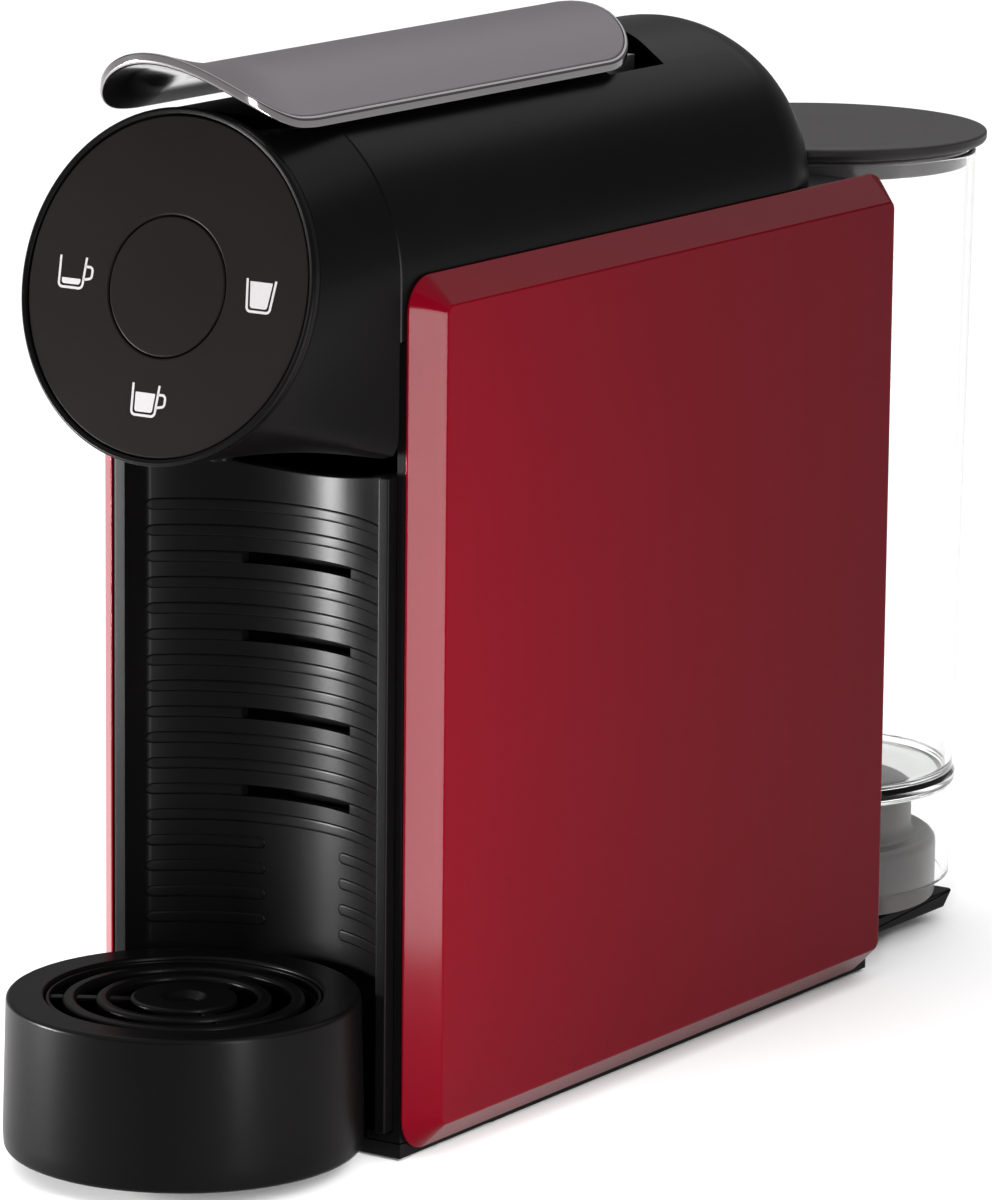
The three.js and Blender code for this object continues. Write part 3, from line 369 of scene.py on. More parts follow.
def carved(piece, cuts, edge=0.0):
    # takes the cuts out of a piece, then rounds the edges that they leave
    for cut in cuts:
        step = piece.modifiers.new("cut", "BOOLEAN")
        step.operation = "DIFFERENCE"
        step.solver = "EXACT"
        step.object = cut
    bpy.context.view_layer.update()
    graph = bpy.context.evaluated_depsgraph_get()
    data = bpy.data.meshes.new_from_object(piece.evaluated_get(graph))
    piece.modifiers.clear()
    piece.data = data
    for cut in cuts:
        bpy.data.objects.remove(cut)
    work = bmesh.new()
    work.from_mesh(data)
    bmesh.ops.remove_doubles(work, verts=work.verts, dist=seam["cutWeld"] * metre)
    if edge > 0:
        steep = math.radians(seam["cutAngle"])
        rims = [rim for rim in work.edges if len(rim.link_faces) == 2 and rim.calc_face_angle() > steep]
        bmesh.ops.bevel(work, geom=rims, offset=edge * metre, segments=2, affect="EDGES",
                        clamp_overlap=True)
    work.to_mesh(data)
    work.free()


def cutter(mesh):
    return addPiece("cutter", mesh, "shell_black", None)


def blockMesh(x0, x1, y0, y1, z0, z1, corner=0.0, edge=0.4):
    outline = [(x0, y0), (x1, y0), (x1, y1), (x0, y1)]
    if corner > 0:
        outline = fillet(outline, corner, 4, closed=True)
    return prismMesh(outline, z0, z1, edge)


panel = {"corner": 9, "chamfer": 7, "innerCorner": 2.2, "edgeRound": 0.9, "cornerSteps": 10,
         "backSeam": 0.5, "faceRing": 4}


def panelRing(x, inset, low, high):
    share = min(1.0, max(0.0, inset / panel["chamfer"]))
    radius = panel["corner"] + (panel["innerCorner"] - panel["corner"]) * share
    y0, y1 = low.y + inset, high.y - inset
    z0, z1 = low.z + inset, high.z - inset
    ring = []
    for cy, cz, start in ((y1 - radius, z1 - radius, 0), (y0 + radius, z1 - radius, 90),
                          (y0 + radius, z0 + radius, 180), (y1 - radius, z0 + radius, 270)):
        for step in range(panel["cornerSteps"] + 1):
            turn = math.radians(start + 90 * step / panel["cornerSteps"])
            ring.append(Vector((x, cy + radius * math.cos(turn), cz + radius * math.sin(turn))))
    return ring


def makePanel(node, name, side):
    low, high = box(node)
    thick = high.x - low.x
    inner = low.x if side > 0 else high.x
    rim = thick - panel["chamfer"]
    line = [(0, panel["backSeam"]), (0, 0), (rim, 0), (thick, panel["chamfer"]),
            (thick, panel["chamfer"] + panel["faceRing"])]
    line = fillet(line, [0, 0.3, 0.5, panel["edgeRound"], 0], 6)
    rings = [panelRing(inner + side * x, inset, low, high) for x, inset in line]
    mesh = tubeMesh(rings, capStart=True, capEnd=True)
    addPiece(name, mesh, "panel_red", "chassis", [node], sharp=28)


makePanel("right_side_panel", "rightPanelShell", 1)
makePanel("left_side_panel", "leftPanelShell", -1)
print("side panels made")


chassis = {"wall": 2.2, "edge": 0.35, "wing": 7.0, "floor": 2.4, "trayRoom": 0.7, "arcSteps": 32,
           "footLean": 5, "stripLean": 6}


def makeChassis():
    low, high = box("main_frame")
    wall = chassis["wall"]
    rearOut = high.y - chassis["wing"]
    rearIn = rearOut - wall
    side = high.x
    plan = [(side, low.y), (side, high.y), (side - wall, high.y), (side - wall, rearOut),
            (wall - side, rearOut), (wall - side, high.y), (-side, high.y), (-side, low.y),
            (wall - side, low.y), (wall - side, rearIn), (side - wall, rearIn), (side - wall, low.y)]
    walls = prismMesh(plan, low.z, high.z, chassis["edge"])
    tray = middle("drip_grille")
    reach = box("drip_tray")[1].x + chassis["trayRoom"]
    steps = chassis["arcSteps"]
    arc = []
    for step in range(steps + 1):
        x = -side + wall + (side - wall) * 2 * step / steps
        across = max(reach * reach - x * x, 0)
        arc.append((x, max(low.y, tray.y + math.sqrt(across))))
    floorPlan = arc + [(side - wall, rearIn), (wall - side, rearIn)]
    floor = prismMesh(floorPlan, low.z, low.z + chassis["floor"], 0.2, 2)
    addPiece("chassisShell", joined(walls, floor), "shell_black", "chassis", ["main_frame"])

    low, high = box("rear_deck")
    deck = blockMesh(low.x, high.x, low.y, high.y, low.z, high.z, 0.6, 0.6)
    addPiece("rearDeckShell", deck, "shell_black", "chassis", ["rear_deck"])

    low, high = box("dock_base")
    outline = [(low.y, low.z), (high.y - chassis["footLean"], low.z), (high.y, high.z), (low.y, high.z)]
    outline = fillet(outline, [0.3, 1.2, 0.6, 0.3], 4, closed=True)
    mesh = prismMesh(outline, low.x, high.x, 0.8)
    turn = Matrix(((0, 0, 1), (1, 0, 0), (0, 1, 0))).to_4x4()
    addPiece("dockFoot", moved(mesh, turn), "shell_black", "chassis", ["dock_base"])
    for node, name in (("foot_strip_right", "rightFootStrip"), ("foot_strip_left", "leftFootStrip")):
        low, high = box(node)
        lean = chassis["stripLean"]
        outline = [(low.y + lean, low.z), (high.y - lean, low.z), (high.y, high.z), (low.y, high.z)]
        outline = fillet(outline, 0.3, 3, closed=True)
        mesh = prismMesh(outline, low.x, high.x, 0.4)
        addPiece(name, moved(mesh, turn), "rubber", "chassis", [node])


makeChassis()
print("chassis made")


hood = {"wall": 2.2, "seatDrop": 7.1, "seatLength": 145.2, "domeLength": 38.5, "crownSteps": 72,
        "domeSteps": 26, "slotHalf": 19, "slotFront": 26.7, "slotRear": 53.7, "slotDeep": 6, "edge": 0.3,
        "crownDrop": 1.1, "ceilingSteps": 12, "ceilingTurn": 1.5}
hoodLow, hoodHigh = box("top_housing")
crownZ = box("right_side_panel")[1].z - hood["crownDrop"]
crownRise = hoodHigh.z - crownZ
seatZ = hoodHigh.z - hood["seatDrop"]
seatRear = hoodLow.y + hood["seatLength"]
domeStart = hoodHigh.y - hood["domeLength"]
domeFloor = box("rear_deck")[1].z + gap
hinge = [Vector(joint["pos_m"]) / metre for joint in frame["joints"] if joint["name"] == "lever_hinge"][0]


def crownAngles():
    corner = math.asin((seatZ - crownZ) / crownRise)
    steps = hood["crownSteps"]
    angles = [math.pi * step / steps for step in range(steps + 1)]
    return sorted(set(angles + [corner, math.pi - corner]))


def hoodSolid(inset, front, bottom, rearBottom, ceiling, ceilingEnd):
    # an arched bar with a domed rear end, cut flat at the ceiling where the lever lies
    half = hoodHigh.x - inset
    rise = crownRise - inset
    angles = crownAngles()

    def ring(y, share, floorZ, top, tuck=0.0):
        points = []
        for angle in angles:
            x = (half * share - tuck) * math.cos(angle)
            z = crownZ + (rise * share - tuck) * math.sin(angle)
            points.append(Vector((x, y, min(z, top))))
        points.append(Vector((-half * share + tuck, y, floorZ)))
        points.append(Vector((half * share - tuck, y, floorZ)))
        return points

    high = crownZ + crownRise
    start = front + hood["edge"]
    steps = hood["ceilingSteps"]
    rings = [ring(front, 1, bottom, ceiling, hood["edge"] if inset == 0 else 0)]
    for step in range(steps + 1):
        rings.append(ring(start + (ceilingEnd - start) * step / steps, 1, bottom, ceiling))
    rings.append(ring(ceilingEnd, 1, bottom, high))
    rings.append(ring(ceilingEnd + hood["ceilingTurn"], 1, bottom, high))
    rings.append(ring(domeStart, 1, bottom, high))
    rings.append(ring(domeStart, 1, rearBottom, high))
    length = hood["domeLength"] - inset
    for step in range(1, hood["domeSteps"]):
        turn = math.pi / 2 * step / hood["domeSteps"]
        rings.append(ring(domeStart + length * math.sin(turn), math.cos(turn), rearBottom, high))
    rings.append([Vector((0, domeStart + length, crownZ))] * len(rings[0]))
    return tubeMesh(rings, capStart=True)


def sweepSolid():
    # the room the lever's rear end needs as it swings: (radius, side) pairs about its hinge
    side = [(24.6, 0), (24.2, 4.5), (22.8, 9.5), (20.6, 14.2), (18.8, 17.2), (16.8, 20.4), (14.6, 24.8)]
    mirrored = [(radius, -x) for radius, x in reversed(side[1:])]
    mesh = turnedMesh([(0, -side[-1][1])] + mirrored + side + [(0, side[-1][1])], 96)
    turn = Matrix.Rotation(math.pi / 2, 4, "Y")
    return moved(mesh, Matrix.Translation(hinge) @ turn)


def makeHood():
    wall = hood["wall"]
    outside = hoodSolid(0, hoodLow.y, hoodLow.z, domeFloor, seatZ, seatRear)
    inside = hoodSolid(wall, hoodLow.y - 1, hoodLow.z - 1, domeFloor - 1, seatZ - wall, seatRear + wall)
    piece = addPiece("hoodShell", outside, "shell_black", None)
    half, deep = hood["slotHalf"], hood["slotDeep"]
    slot = blockMesh(-half, half, hoodLow.y + hood["slotFront"], hoodLow.y + hood["slotRear"],
                     seatZ - deep, seatZ + deep, 6, 0.01)
    carved(piece, [cutter(inside), cutter(sweepSolid()), cutter(slot)], hood["edge"])
    dress(piece, "shell_black", "chassis", ["top_housing"], 30)


makeHood()
print("hood made")


head = {"tilt": 13, "wall": 2.0, "points": 144, "steps": 14, "square": 22, "behind": 1.9,
        "seatFront": 15.8, "spoutHole": 5.2, "edge": 0.25, "firstShare": 0.006, "lastShare": 0.992}
face = {"bezelWidth": 1.7, "depth": 1.6, "button": 17, "groove": 0.32, "round": 0.45, "segments": 144,
        "rise": 0.3, "stem": 3, "stemEnd": 6.4}
tilt = math.radians(head["tilt"])
outward = Vector((0, -math.cos(tilt), math.sin(tilt)))
upward = Vector((0, math.sin(tilt), math.cos(tilt)))
faceCentre = middle("face_bezel") + outward * gap
faceRadius = box("face_bezel")[1].x
onFace = Matrix.Translation(faceCentre) @ Matrix((
    (1, 0, 0), (0, upward.y, outward.y), (0, upward.z, outward.z))).to_4x4()


def headRing(share, inset, rear, drop):
    # share runs from the round face, at 0, to the arched rear with its square lower corners, at 1
    ring = []
    for index in range(head["points"]):
        angle = 2 * math.pi * index / head["points"]
        c, s = math.cos(angle), math.sin(angle)
        radius = faceRadius - gap - inset
        front = onFace @ Vector((radius * c, radius * s, -head["behind"]))
        side = hoodHigh.x - inset
        if s >= 0:
            back = Vector((side * c, rear, crownZ + (crownRise - inset) * s))
        else:
            power = head["square"]
            reach = ((abs(c) / side) ** power + (abs(s) / (drop - inset)) ** power) ** (-1 / power)
            back = Vector((reach * c, rear, crownZ + reach * s))
        ring.append(front.lerp(back, share))
    return ring


def makeHead():
    low, high = box("head_shroud")
    drop = crownZ - low.z
    steps = head["steps"]
    first, last = head["firstShare"], head["lastShare"]
    rings = [headRing(0, head["edge"], high.y, drop)]
    for step in range(steps + 1):
        rings.append(headRing(first + (last - first) * step / steps, 0, high.y, drop))
    rings.append(headRing(1, 0.3, high.y, drop))
    rings += [headRing(1 - step / steps, head["wall"], high.y, drop) for step in range(steps + 1)]
    mesh = tubeMesh(rings, around=True)
    piece = addPiece("headShell", mesh, "shell_black", None)
    seat = blockMesh(-60, 60, high.y - head["seatFront"] - 7, high.y + 3, seatZ, seatZ + 30, 0, 0.01)
    under = middle("spout_nozzle")
    hole = turnedMesh([(0, -8), (head["spoutHole"], -8), (head["spoutHole"], 8), (0, 8)], 48)
    hole = moved(hole, Matrix.Translation((under.x, under.y, low.z + 2)))
    carved(piece, [cutter(seat), cutter(hole)], head["edge"])
    dress(piece, "shell_black", "chassis", ["head_shroud"], 30)


def makeFace():
    segments = face["segments"]
    width = face["bezelWidth"]
    rise = face["rise"]
    line = [(faceRadius - width, -face["depth"]), (faceRadius - 0.2, -face["depth"]),
            (faceRadius, 0.4), (faceRadius - 0.6, 1.0), (faceRadius - width, 0.75)]
    line = fillet(line, [0.1, 0.2, 0.5, 0.5, 0.4], 5, closed=True)
    addPiece("faceRim", moved(turnedMesh(line, segments, True), onFace), "shell_black", "chassis",
             ["face_bezel"])
    outer = faceRadius - width - face["groove"]
    inner = face["button"] + face["groove"]
    line = [(inner, -face["depth"]), (outer, -face["depth"]), (outer, rise), (inner, rise)]
    line = fillet(line, [0.1, 0.1, face["round"], face["round"]], 5, closed=True)
    addPiece("facePlate", moved(turnedMesh(line, segments, True), onFace), "face_black", "chassis",
             ["face_plate"])
    stem, stemEnd = face["stem"], -face["stemEnd"]
    line = [(0, stemEnd), (stem, stemEnd), (stem, -face["depth"]), (face["button"], -face["depth"]),
            (face["button"], rise), (0, rise)]
    line = fillet(line, [0, 0.4, 0.2, 0.2, face["round"], 0], 5)
    addPiece("faceButton", moved(turnedMesh(line, segments), onFace), "face_black", "button",
             ["power_button"])


icons = {
    "line": 0.62, "lift": 0.06, "sunk": 0.2, "corner": 1.1, "handle": 2.3,
    "signs": (
        # piece, node, place across and up the face, width, height, lean of the sides, fill, handle
        ("smallCupSign", "icon_lens_left", -28.6, 0.8, 7.8, 7.6, 0.35, 0.22, True),
        ("tallGlassSign", "icon_lens_right", 27.5, 0.5, 8.4, 7.8, 0.9, 0.95, False),
        ("largeCupSign", "icon_lens_lower", -2.0, -27.6, 7.8, 7.6, 0.45, 0.72, True),
    ),
}


def strokeMesh(points):
    # a flat ribbon along a line of points
    width = icons["line"]
    count = len(points)
    left, right = [], []
    for index in range(count):
        here = Vector(points[index])
        before = Vector(points[max(index - 1, 0)])
        after = Vector(points[min(index + 1, count - 1)])
        along = (after - before).normalized()
        normal = Vector((-along.y, along.x))
        left.append(here + normal * width / 2)
        right.append(here - normal * width / 2)
    top, bottom = face["rise"] + icons["lift"], face["rise"] - icons["sunk"]
    rings = []
    for a, b in zip(left, right):
        rings.append([Vector((a.x, a.y, bottom)), Vector((a.x, a.y, top)),
                      Vector((b.x, b.y, top)), Vector((b.x, b.y, bottom))])
    return tubeMesh(rings, capStart=True, capEnd=True)


def fillMesh(points):
    return prismMesh(points, face["rise"] - icons["sunk"], face["rise"] + icons["lift"], 0.02, 1)


def makeIcon(name, node, u, v, wide, tall, lean, level, handle):
    w, h = wide / 2, tall / 2
    cup = [(-w, h), (-w + lean, -h), (w - lean, -h), (w, h)]
    cup = fillet(cup, [0, icons["corner"], icons["corner"], 0], 6)
    meshes = [strokeMesh(cup)]
    inside = icons["line"] * 1.35
    slope = lean / tall
    top = -h + inside + (tall - inside * 1.3) * level
    fill = [(-w + lean + inside, -h + inside), (w - lean - inside, -h + inside),
            (w - inside - slope * (h - top), top), (-w + inside + slope * (h - top), top)]
    meshes.append(fillMesh(fillet(fill, [0.7, 0.7, 0.15, 0.15], 4, closed=True)))
    if handle:
        edge = w - lean * 0.4
        outer = edge + icons["handle"]
        loop = [(edge, h * 0.42), (outer, h * 0.42), (outer, -h * 0.3), (edge - 0.2, -h * 0.42)]
        meshes.append(strokeMesh(fillet(loop, [0, 0.9, 0.9, 0], 5)))
    mesh = moved(joined(*meshes), onFace @ Matrix.Translation((u, v, 0)))
    addPiece(name, mesh, "icon_white", "chassis", [node], sharp=20)


makeHead()
makeFace()
for sign in icons["signs"]:
    makeIcon(*sign)
print("head and face made")


lever = {"lipRise": 9.6, "lipLength": 58.7, "lipSet": 8.1, "crown": 11.2, "frontRatio": 0.87, "thick": 2.8,
         "inlayBorder": 0.9, "inlayDepth": 0.9, "inlayGap": 0.12, "inlayDrop": 0.05, "arc": 40,
         "straight": 56, "bunch": 0.6, "across": 12, "rimRound": 0.7, "rimWidth": 6,
         "postSide": 10, "postBack": 3, "postRadius": 3}
leverLow, leverHigh = box("lever_body")
leverHalf = leverHigh.x
frontCentre = leverLow.y + leverHalf * lever["frontRatio"]
rearCentre = leverHigh.y - leverHalf
lipStart = frontCentre + lever["lipSet"]
leverEdge = leverLow.z + lever["thick"]


def leverTop(x, y):
    share = min(1.0, max(0.0, (lipStart - y) / lever["lipLength"]))
    rise = share * share * (3 - 2 * share)
    return leverEdge + lever["lipRise"] * rise + lever["crown"] * (1 - (x / leverHalf) ** 2)


def leverRing(inset, drop):
    # the lever's outline, drawn in by the inset and lying on its top or the drop below it
    radius = max(leverHalf - inset, 0.0)
    points = []
    for step in range(lever["arc"] + 1):
        turn = math.pi * step / lever["arc"]
        points.append((radius * math.cos(turn), rearCentre + radius * math.sin(turn)))
    for step in range(1, lever["straight"]):
        share = (step / lever["straight"]) ** lever["bunch"]
        points.append((-radius, rearCentre + (frontCentre - rearCentre) * share))
    length = max(leverHalf * lever["frontRatio"] - inset, 0.0)
    for step in range(lever["arc"] + 1):
        turn = math.pi + math.pi * step / lever["arc"]
        points.append((radius * math.cos(turn), frontCentre + length * math.sin(turn)))
    for step in range(lever["straight"] - 1, 0, -1):
        share = (step / lever["straight"]) ** lever["bunch"]
        points.append((radius, rearCentre + (frontCentre - rearCentre) * share))
    return [Vector((x, y, leverTop(x, y) - drop)) for x, y in points]


def inwards(start, drop):
    # rings from an inset to the lever's middle line
    steps = lever["across"]
    return [(start + (leverHalf - start) * step / steps, drop) for step in range(1, steps + 1)]


def makeLever():
    thick = lever["thick"]
    border = lever["inlayBorder"]
    rimWidth = lever["rimWidth"]
    depth = lever["inlayDepth"] + gap
    edge = [(border, depth), (border, 0), (0, 0), (0, thick), (rimWidth, thick)]
    edge = [tuple(p) for p in fillet(edge, [0.2, 0.25, lever["rimRound"], 1.0, 0], 6)]
    line = list(reversed(inwards(border, depth))) + edge + inwards(rimWidth, thick)
    body = tubeMesh([leverRing(inset, drop) for inset, drop in line])

    posts = []
    radius = lever["postRadius"]
    flange = box("lever_bracket")[1].z + gap
    for x in (-lever["postSide"], lever["postSide"]):
        top = leverTop(x, hinge.y) - thick / 2
        line = fillet([(0, flange), (radius, flange), (radius, top), (0, top)], [0, 0.4, 0, 0], 3)
        post = turnedMesh(line, 32)
        posts.append(moved(post, Matrix.Translation((x, hinge.y - lever["postBack"], 0))))
    addPiece("leverFrame", joined(body, *posts), "lever_chrome", "lever", ["lever_body"], sharp=40)

    start = border + lever["inlayGap"]
    low, high = lever["inlayDepth"], lever["inlayDrop"]
    edge = [(start + 0.6, low), (start, low), (start, high), (start + 2.5, high)]
    edge = [tuple(p) for p in fillet(edge, [0, 0.1, 0.35, 0], 5)]
    line = list(reversed(inwards(start + 0.6, low))) + edge + inwards(start + 2.5, high)
    inlay = tubeMesh([leverRing(inset, drop) for inset, drop in line])
    addPiece("leverInlay", inlay, "lever_grey", "lever", ["lever_inlay"], sharp=40)


makeLever()
print("lever made")


drawer = {"strip": 3.2, "wallRadius": 50, "wall": 2.4, "dip": 7, "steps": 60, "edge": 0.5,
          "slotHalf": 16.6, "slotTall": 3, "slots": (38, 82.6, 102.6, 122.6, 142.6),
          "ribTop": 155.8, "ribPitch": 6.656, "ribs": 17, "ribHalf": 1.5, "ribReach": 37,
          "ribLift": 0.32, "ribEnd": 12, "ribRun": 24, "gapFrom": -10.6, "gapTo": 12.3, "splitRibs": 4,
          "corner": 0.5, "cutAhead": 14, "cutBehind": 12}
capsuleBin = {"wall": 1.8, "corner": 5, "foot": 1.2, "lip": 0.6}
drawerLow, drawerHigh = box("drawer_front")
trayMiddle = middle("drip_grille")
wallEnd = drawerHigh.x - drawer["strip"]


def wallLine(radius, x):
    return trayMiddle.y + math.sqrt(radius * radius - x * x)


def makeDrawer():
    back = drawer["wallRadius"] + drawer["wall"]
    steps = drawer["steps"]
    outerY = wallLine(back, wallEnd)
    rim = [(-drawerHigh.x, outerY), (-drawerHigh.x, drawerLow.y), (-wallEnd, drawerLow.y)]
    front = []
    for step in range(steps + 1):
        x = -wallEnd + 2 * wallEnd * step / steps
        front.append((x, wallLine(drawer["wallRadius"], x)))
    rear = [(-x, wallLine(back, -x)) for x, _ in front]
    corner = drawer["corner"]
    rightRim = [(wallEnd, drawerLow.y + 6), (wallEnd, drawerLow.y), (drawerHigh.x, drawerLow.y),
                (drawerHigh.x, outerY)]
    rightRim = fillet(rightRim, [0, corner, corner, 0], 3)[1:]
    plan = fillet(rim, [0, corner, corner], 3) + front[1:-1] + rightRim + rear[1:-1]
    # the wall's top edge dips in the middle along an arc of this radius
    radius = (wallEnd ** 2 + drawer["dip"] ** 2) / (2 * drawer["dip"])
    rings = []
    edge = drawer["edge"]
    for inset, drop in ((edge, 0), (edge * 0.3, edge * 0.3), (0, edge)):
        rings.append([Vector((p.x, p.y, drawerLow.z + drop)) for p in shrunk(plan, inset)])
    for drop, inset in ((edge, 0), (edge * 0.3, edge * 0.3), (0, edge)):
        ring = []
        for p in shrunk(plan, inset):
            x = min(abs(p.x), wallEnd)
            top = drawerHigh.z - drawer["dip"] + radius - math.sqrt(radius * radius - x * x)
            ring.append(Vector((p.x, p.y, top - drop)))
        rings.append(ring)
    piece = addPiece("drawerWall", tubeMesh(rings, capStart=True, capEnd=True), "shell_black", None)
    cuts = []
    deepest = wallLine(drawer["wallRadius"], 0)
    half = drawer["slotTall"] / 2
    for z in drawer["slots"]:
        slot = blockMesh(-drawer["slotHalf"], drawer["slotHalf"], deepest - drawer["cutAhead"],
                         deepest + drawer["cutBehind"], z - half, z + half, 0, 0.01)
        cuts.append(cutter(slot))
    carved(piece, cuts)
    dress(piece, "shell_black", "drawer", ["drawer_front"], 30)

    ribs = []
    for index in range(drawer["ribs"]):
        z = drawer["ribTop"] - index * drawer["ribPitch"]
        reach = drawer["ribReach"]
        parts = [(-reach, reach)]
        if index >= drawer["ribs"] - drawer["splitRibs"]:
            parts = [(-reach, drawer["gapFrom"]), (drawer["gapTo"], reach)]
        elif any(abs(z - slot) < 1.2 for slot in drawer["slots"]):
            parts = [(-reach, -drawer["slotHalf"] - 0.1), (drawer["slotHalf"] + 0.1, reach)]
        for start, end in parts:
            ribs.append(ribMesh(start, end, z, start > -reach, end < reach,
                                index < drawer["ribs"] - drawer["splitRibs"]))
    addPiece("wallRibs", joined(*ribs), "shell_black", "drawer", [], sharp=50)

    low, high = box("capsule_bin")
    wall, foot, lip = capsuleBin["wall"], capsuleBin["foot"], capsuleBin["lip"]
    outline = [(low.x, low.y), (high.x, low.y), (high.x, high.y), (low.x, high.y)]
    outline = fillet(outline, capsuleBin["corner"], 6, closed=True)
    heights = [(foot, low.z), (0.35, low.z + 0.35), (0, low.z + foot), (0, high.z - lip), (lip, high.z),
               (wall - lip, high.z), (wall, high.z - lip), (wall, low.z + wall + foot),
               (wall + foot, low.z + wall)]
    rings = [[Vector((p.x, p.y, z)) for p in shrunk(outline, inset)] for inset, z in heights]
    addPiece("usedCapsuleBin", tubeMesh(rings, capStart=True, capEnd=True), "shell_black", "drawer",
             ["capsule_bin"])


def ribMesh(start, end, z, cutStart, cutEnd, squareCut):
    # a low pad with round ends, bent to the wall's curve; cut ends are square beside a slot
    rings = []
    half = drawer["ribHalf"]
    turns, strips = drawer["ribEnd"], drawer["ribRun"]
    for inset, lift in ((-0.12, -0.25), (0, 0.04), (0.12, 0.2), (0.35, 0.3), (0.7, drawer["ribLift"])):
        size = half - inset
        points = []
        for centre, turn0, isCut in ((end - half, -90, cutEnd), (start + half, 90, cutStart)):
            for step in range(turns + 1):
                turn = math.radians(turn0 + 180 * step / turns)
                u, v = size * math.cos(turn), size * math.sin(turn)
                if isCut and squareCut:
                    u = math.copysign(half, u) if abs(math.cos(turn)) > 1e-6 else 0
                    v = size * max(-1, min(1, math.sin(turn) * 1.6))
                points.append((centre + u, z + v))
            if centre == end - half:
                first, last = points[-1][0], start + half
                points += [(first + (last - first) * k / strips, z + size) for k in range(1, strips)]
        first, last = start + half, end - half
        points += [(first + (last - first) * k / strips, z - size) for k in range(1, strips)]
        ring = []
        for x, h in points:
            x = max(-wallEnd + 0.3, min(wallEnd - 0.3, x))
            ring.append(Vector((x, wallLine(drawer["wallRadius"] - lift, x), h)))
        rings.append(ring)
    verts, faces = tubeMesh(rings)
    count = len(rings[0])
    top = (len(rings) - 1) * count
    # the pad's face is filled with strips between its lower and upper edges
    far = top + turns + strips
    for near in (top, far):
        for k in range(turns // 2):
            faces.append((near + k, near + k + 1, near + turns - 1 - k, near + turns - k))
    lower = [top + (count - k) % count for k in range(strips)] + [far + turns]
    upper = [top + turns + k for k in range(strips + 1)]
    for k in range(strips):
        faces.append((lower[k], lower[k + 1], upper[k + 1], upper[k]))
    return verts, faces


makeDrawer()
print("drawer made")


tray = {"mouth": 34.4, "ledgeDrop": 3, "ledgeThick": 1.3, "ledgeWidth": 2, "wall": 2.2, "lean": 0.9,
        "footRise": 4, "floor": 2.4, "segments": 144, "rimRound": 1.3, "hookHalf": 16, "hookZ": 38,
        "hookThick": 2.2, "hookStart": 38}
grille = {"rings": ((33.1, 34.05, 0.3, 0.35), (26.4, 30.0, -0.5, 1.5), (18.2, 21.7, -0.5, 1.5)),
          "disc": 13.2, "dimple": 4.6, "dimpleDeep": 1.9, "spoke": 3.0, "turns": (90, 210, 330)}


def makeTray():
    low, high = box("drip_tray")
    centre = Vector((trayMiddle.x, trayMiddle.y, 0))
    base, top = high.x, high.x - tray["lean"]
    mouth = tray["mouth"]
    ledgeEnd = mouth - tray["ledgeWidth"]
    ledge = high.z - tray["ledgeDrop"]
    under = ledge - tray["ledgeThick"]
    inner = base - tray["wall"]
    line = [(0, low.z), (base - 0.3, low.z), (base, low.z + tray["footRise"]), (top, high.z), (mouth, high.z),
            (mouth, ledge), (ledgeEnd, ledge), (ledgeEnd, under), (inner - tray["lean"], under),
            (inner, low.z + 3), (0, low.z + tray["floor"])]
    radii = [0, 1.4, 30, tray["rimRound"], 0.9, 0.2, 0.3, 0.3, 1, 2, 0]
    body = turnedMesh(fillet(line, radii, 7), tray["segments"])
    body = moved(body, Matrix.Translation(centre))
    half, thick = tray["hookHalf"], tray["hookThick"] / 2
    hook = blockMesh(-half, half, trayMiddle.y + tray["hookStart"], high.y,
                     tray["hookZ"] - thick, tray["hookZ"] + thick, 1.2, 0.4)
    addPiece("dripTrayShell", joined(body, hook), "shell_black", "tray", ["drip_tray"])


def makeGrille():
    low, high = box("drip_grille")
    lowZ = low.z + 0.8
    meshes = []
    for inner, outer, drop, rounding in grille["rings"]:
        line = [(inner, lowZ + drop), (outer, lowZ + drop), (outer, high.z), (inner, high.z)]
        line = fillet(line, [0.2, 0.2, rounding, rounding], 7, closed=True)
        meshes.append(turnedMesh(line, tray["segments"], True))
    disc, dimple = grille["disc"], grille["dimple"]
    deep = high.z - grille["dimpleDeep"]
    line = [(0, lowZ), (disc, lowZ), (disc, high.z), (dimple + 1, high.z), (dimple - 1, deep + 0.2),
            (0, deep)]
    meshes.append(turnedMesh(fillet(line, [0, 0.2, 1.5, 1.2, 1.0, 0], 7), tray["segments"]))
    for turn in grille["turns"]:
        spoke = blockMesh(disc - 1, grille["rings"][0][1] - 0.4, -grille["spoke"] / 2, grille["spoke"] / 2,
                          lowZ, lowZ + 1.0, 0.2, 0.25)
        meshes.append(moved(spoke, Matrix.Rotation(math.radians(turn), 4, "Z")))
    mesh = moved(joined(*meshes), Matrix.Translation((trayMiddle.x, trayMiddle.y, 0)))
    addPiece("dripGrilleShell", mesh, "shell_black", "grille", ["drip_grille"])


makeTray()
makeGrille()
print("tray and grille made")


tank = {"bottom": 41.3, "wall": 1.9, "floor": 42.3, "floorThick": 2.7, "valve": 6, "bead": 0.7,
        "segments": 160}
lid = {"dish": 2.2, "bowl": 0.66, "under": 3, "collarWall": 2}
dock = {"shoulder": 26.5, "step": 7, "seat": 9, "well": 5, "valveRoom": 3.6, "bore": 1.9, "boreDeep": 12}
spout = {"bore": 1.6, "tip": 3, "collar": 4.6, "tipLength": 3.2}
gland = {"bore": 3.3, "neck": 4.6, "neckLength": 6, "head": 7, "length": 8.4}
tankMiddle = middle("tank")
tankLow, tankHigh = box("tank")
overTank = Matrix.Translation((tankMiddle.x, tankMiddle.y, 0))


def tankRadius(z):
    return tank["bottom"] + (tankHigh.x - tank["bottom"]) * (z - tankLow.z) / (tankHigh.z - tankLow.z)


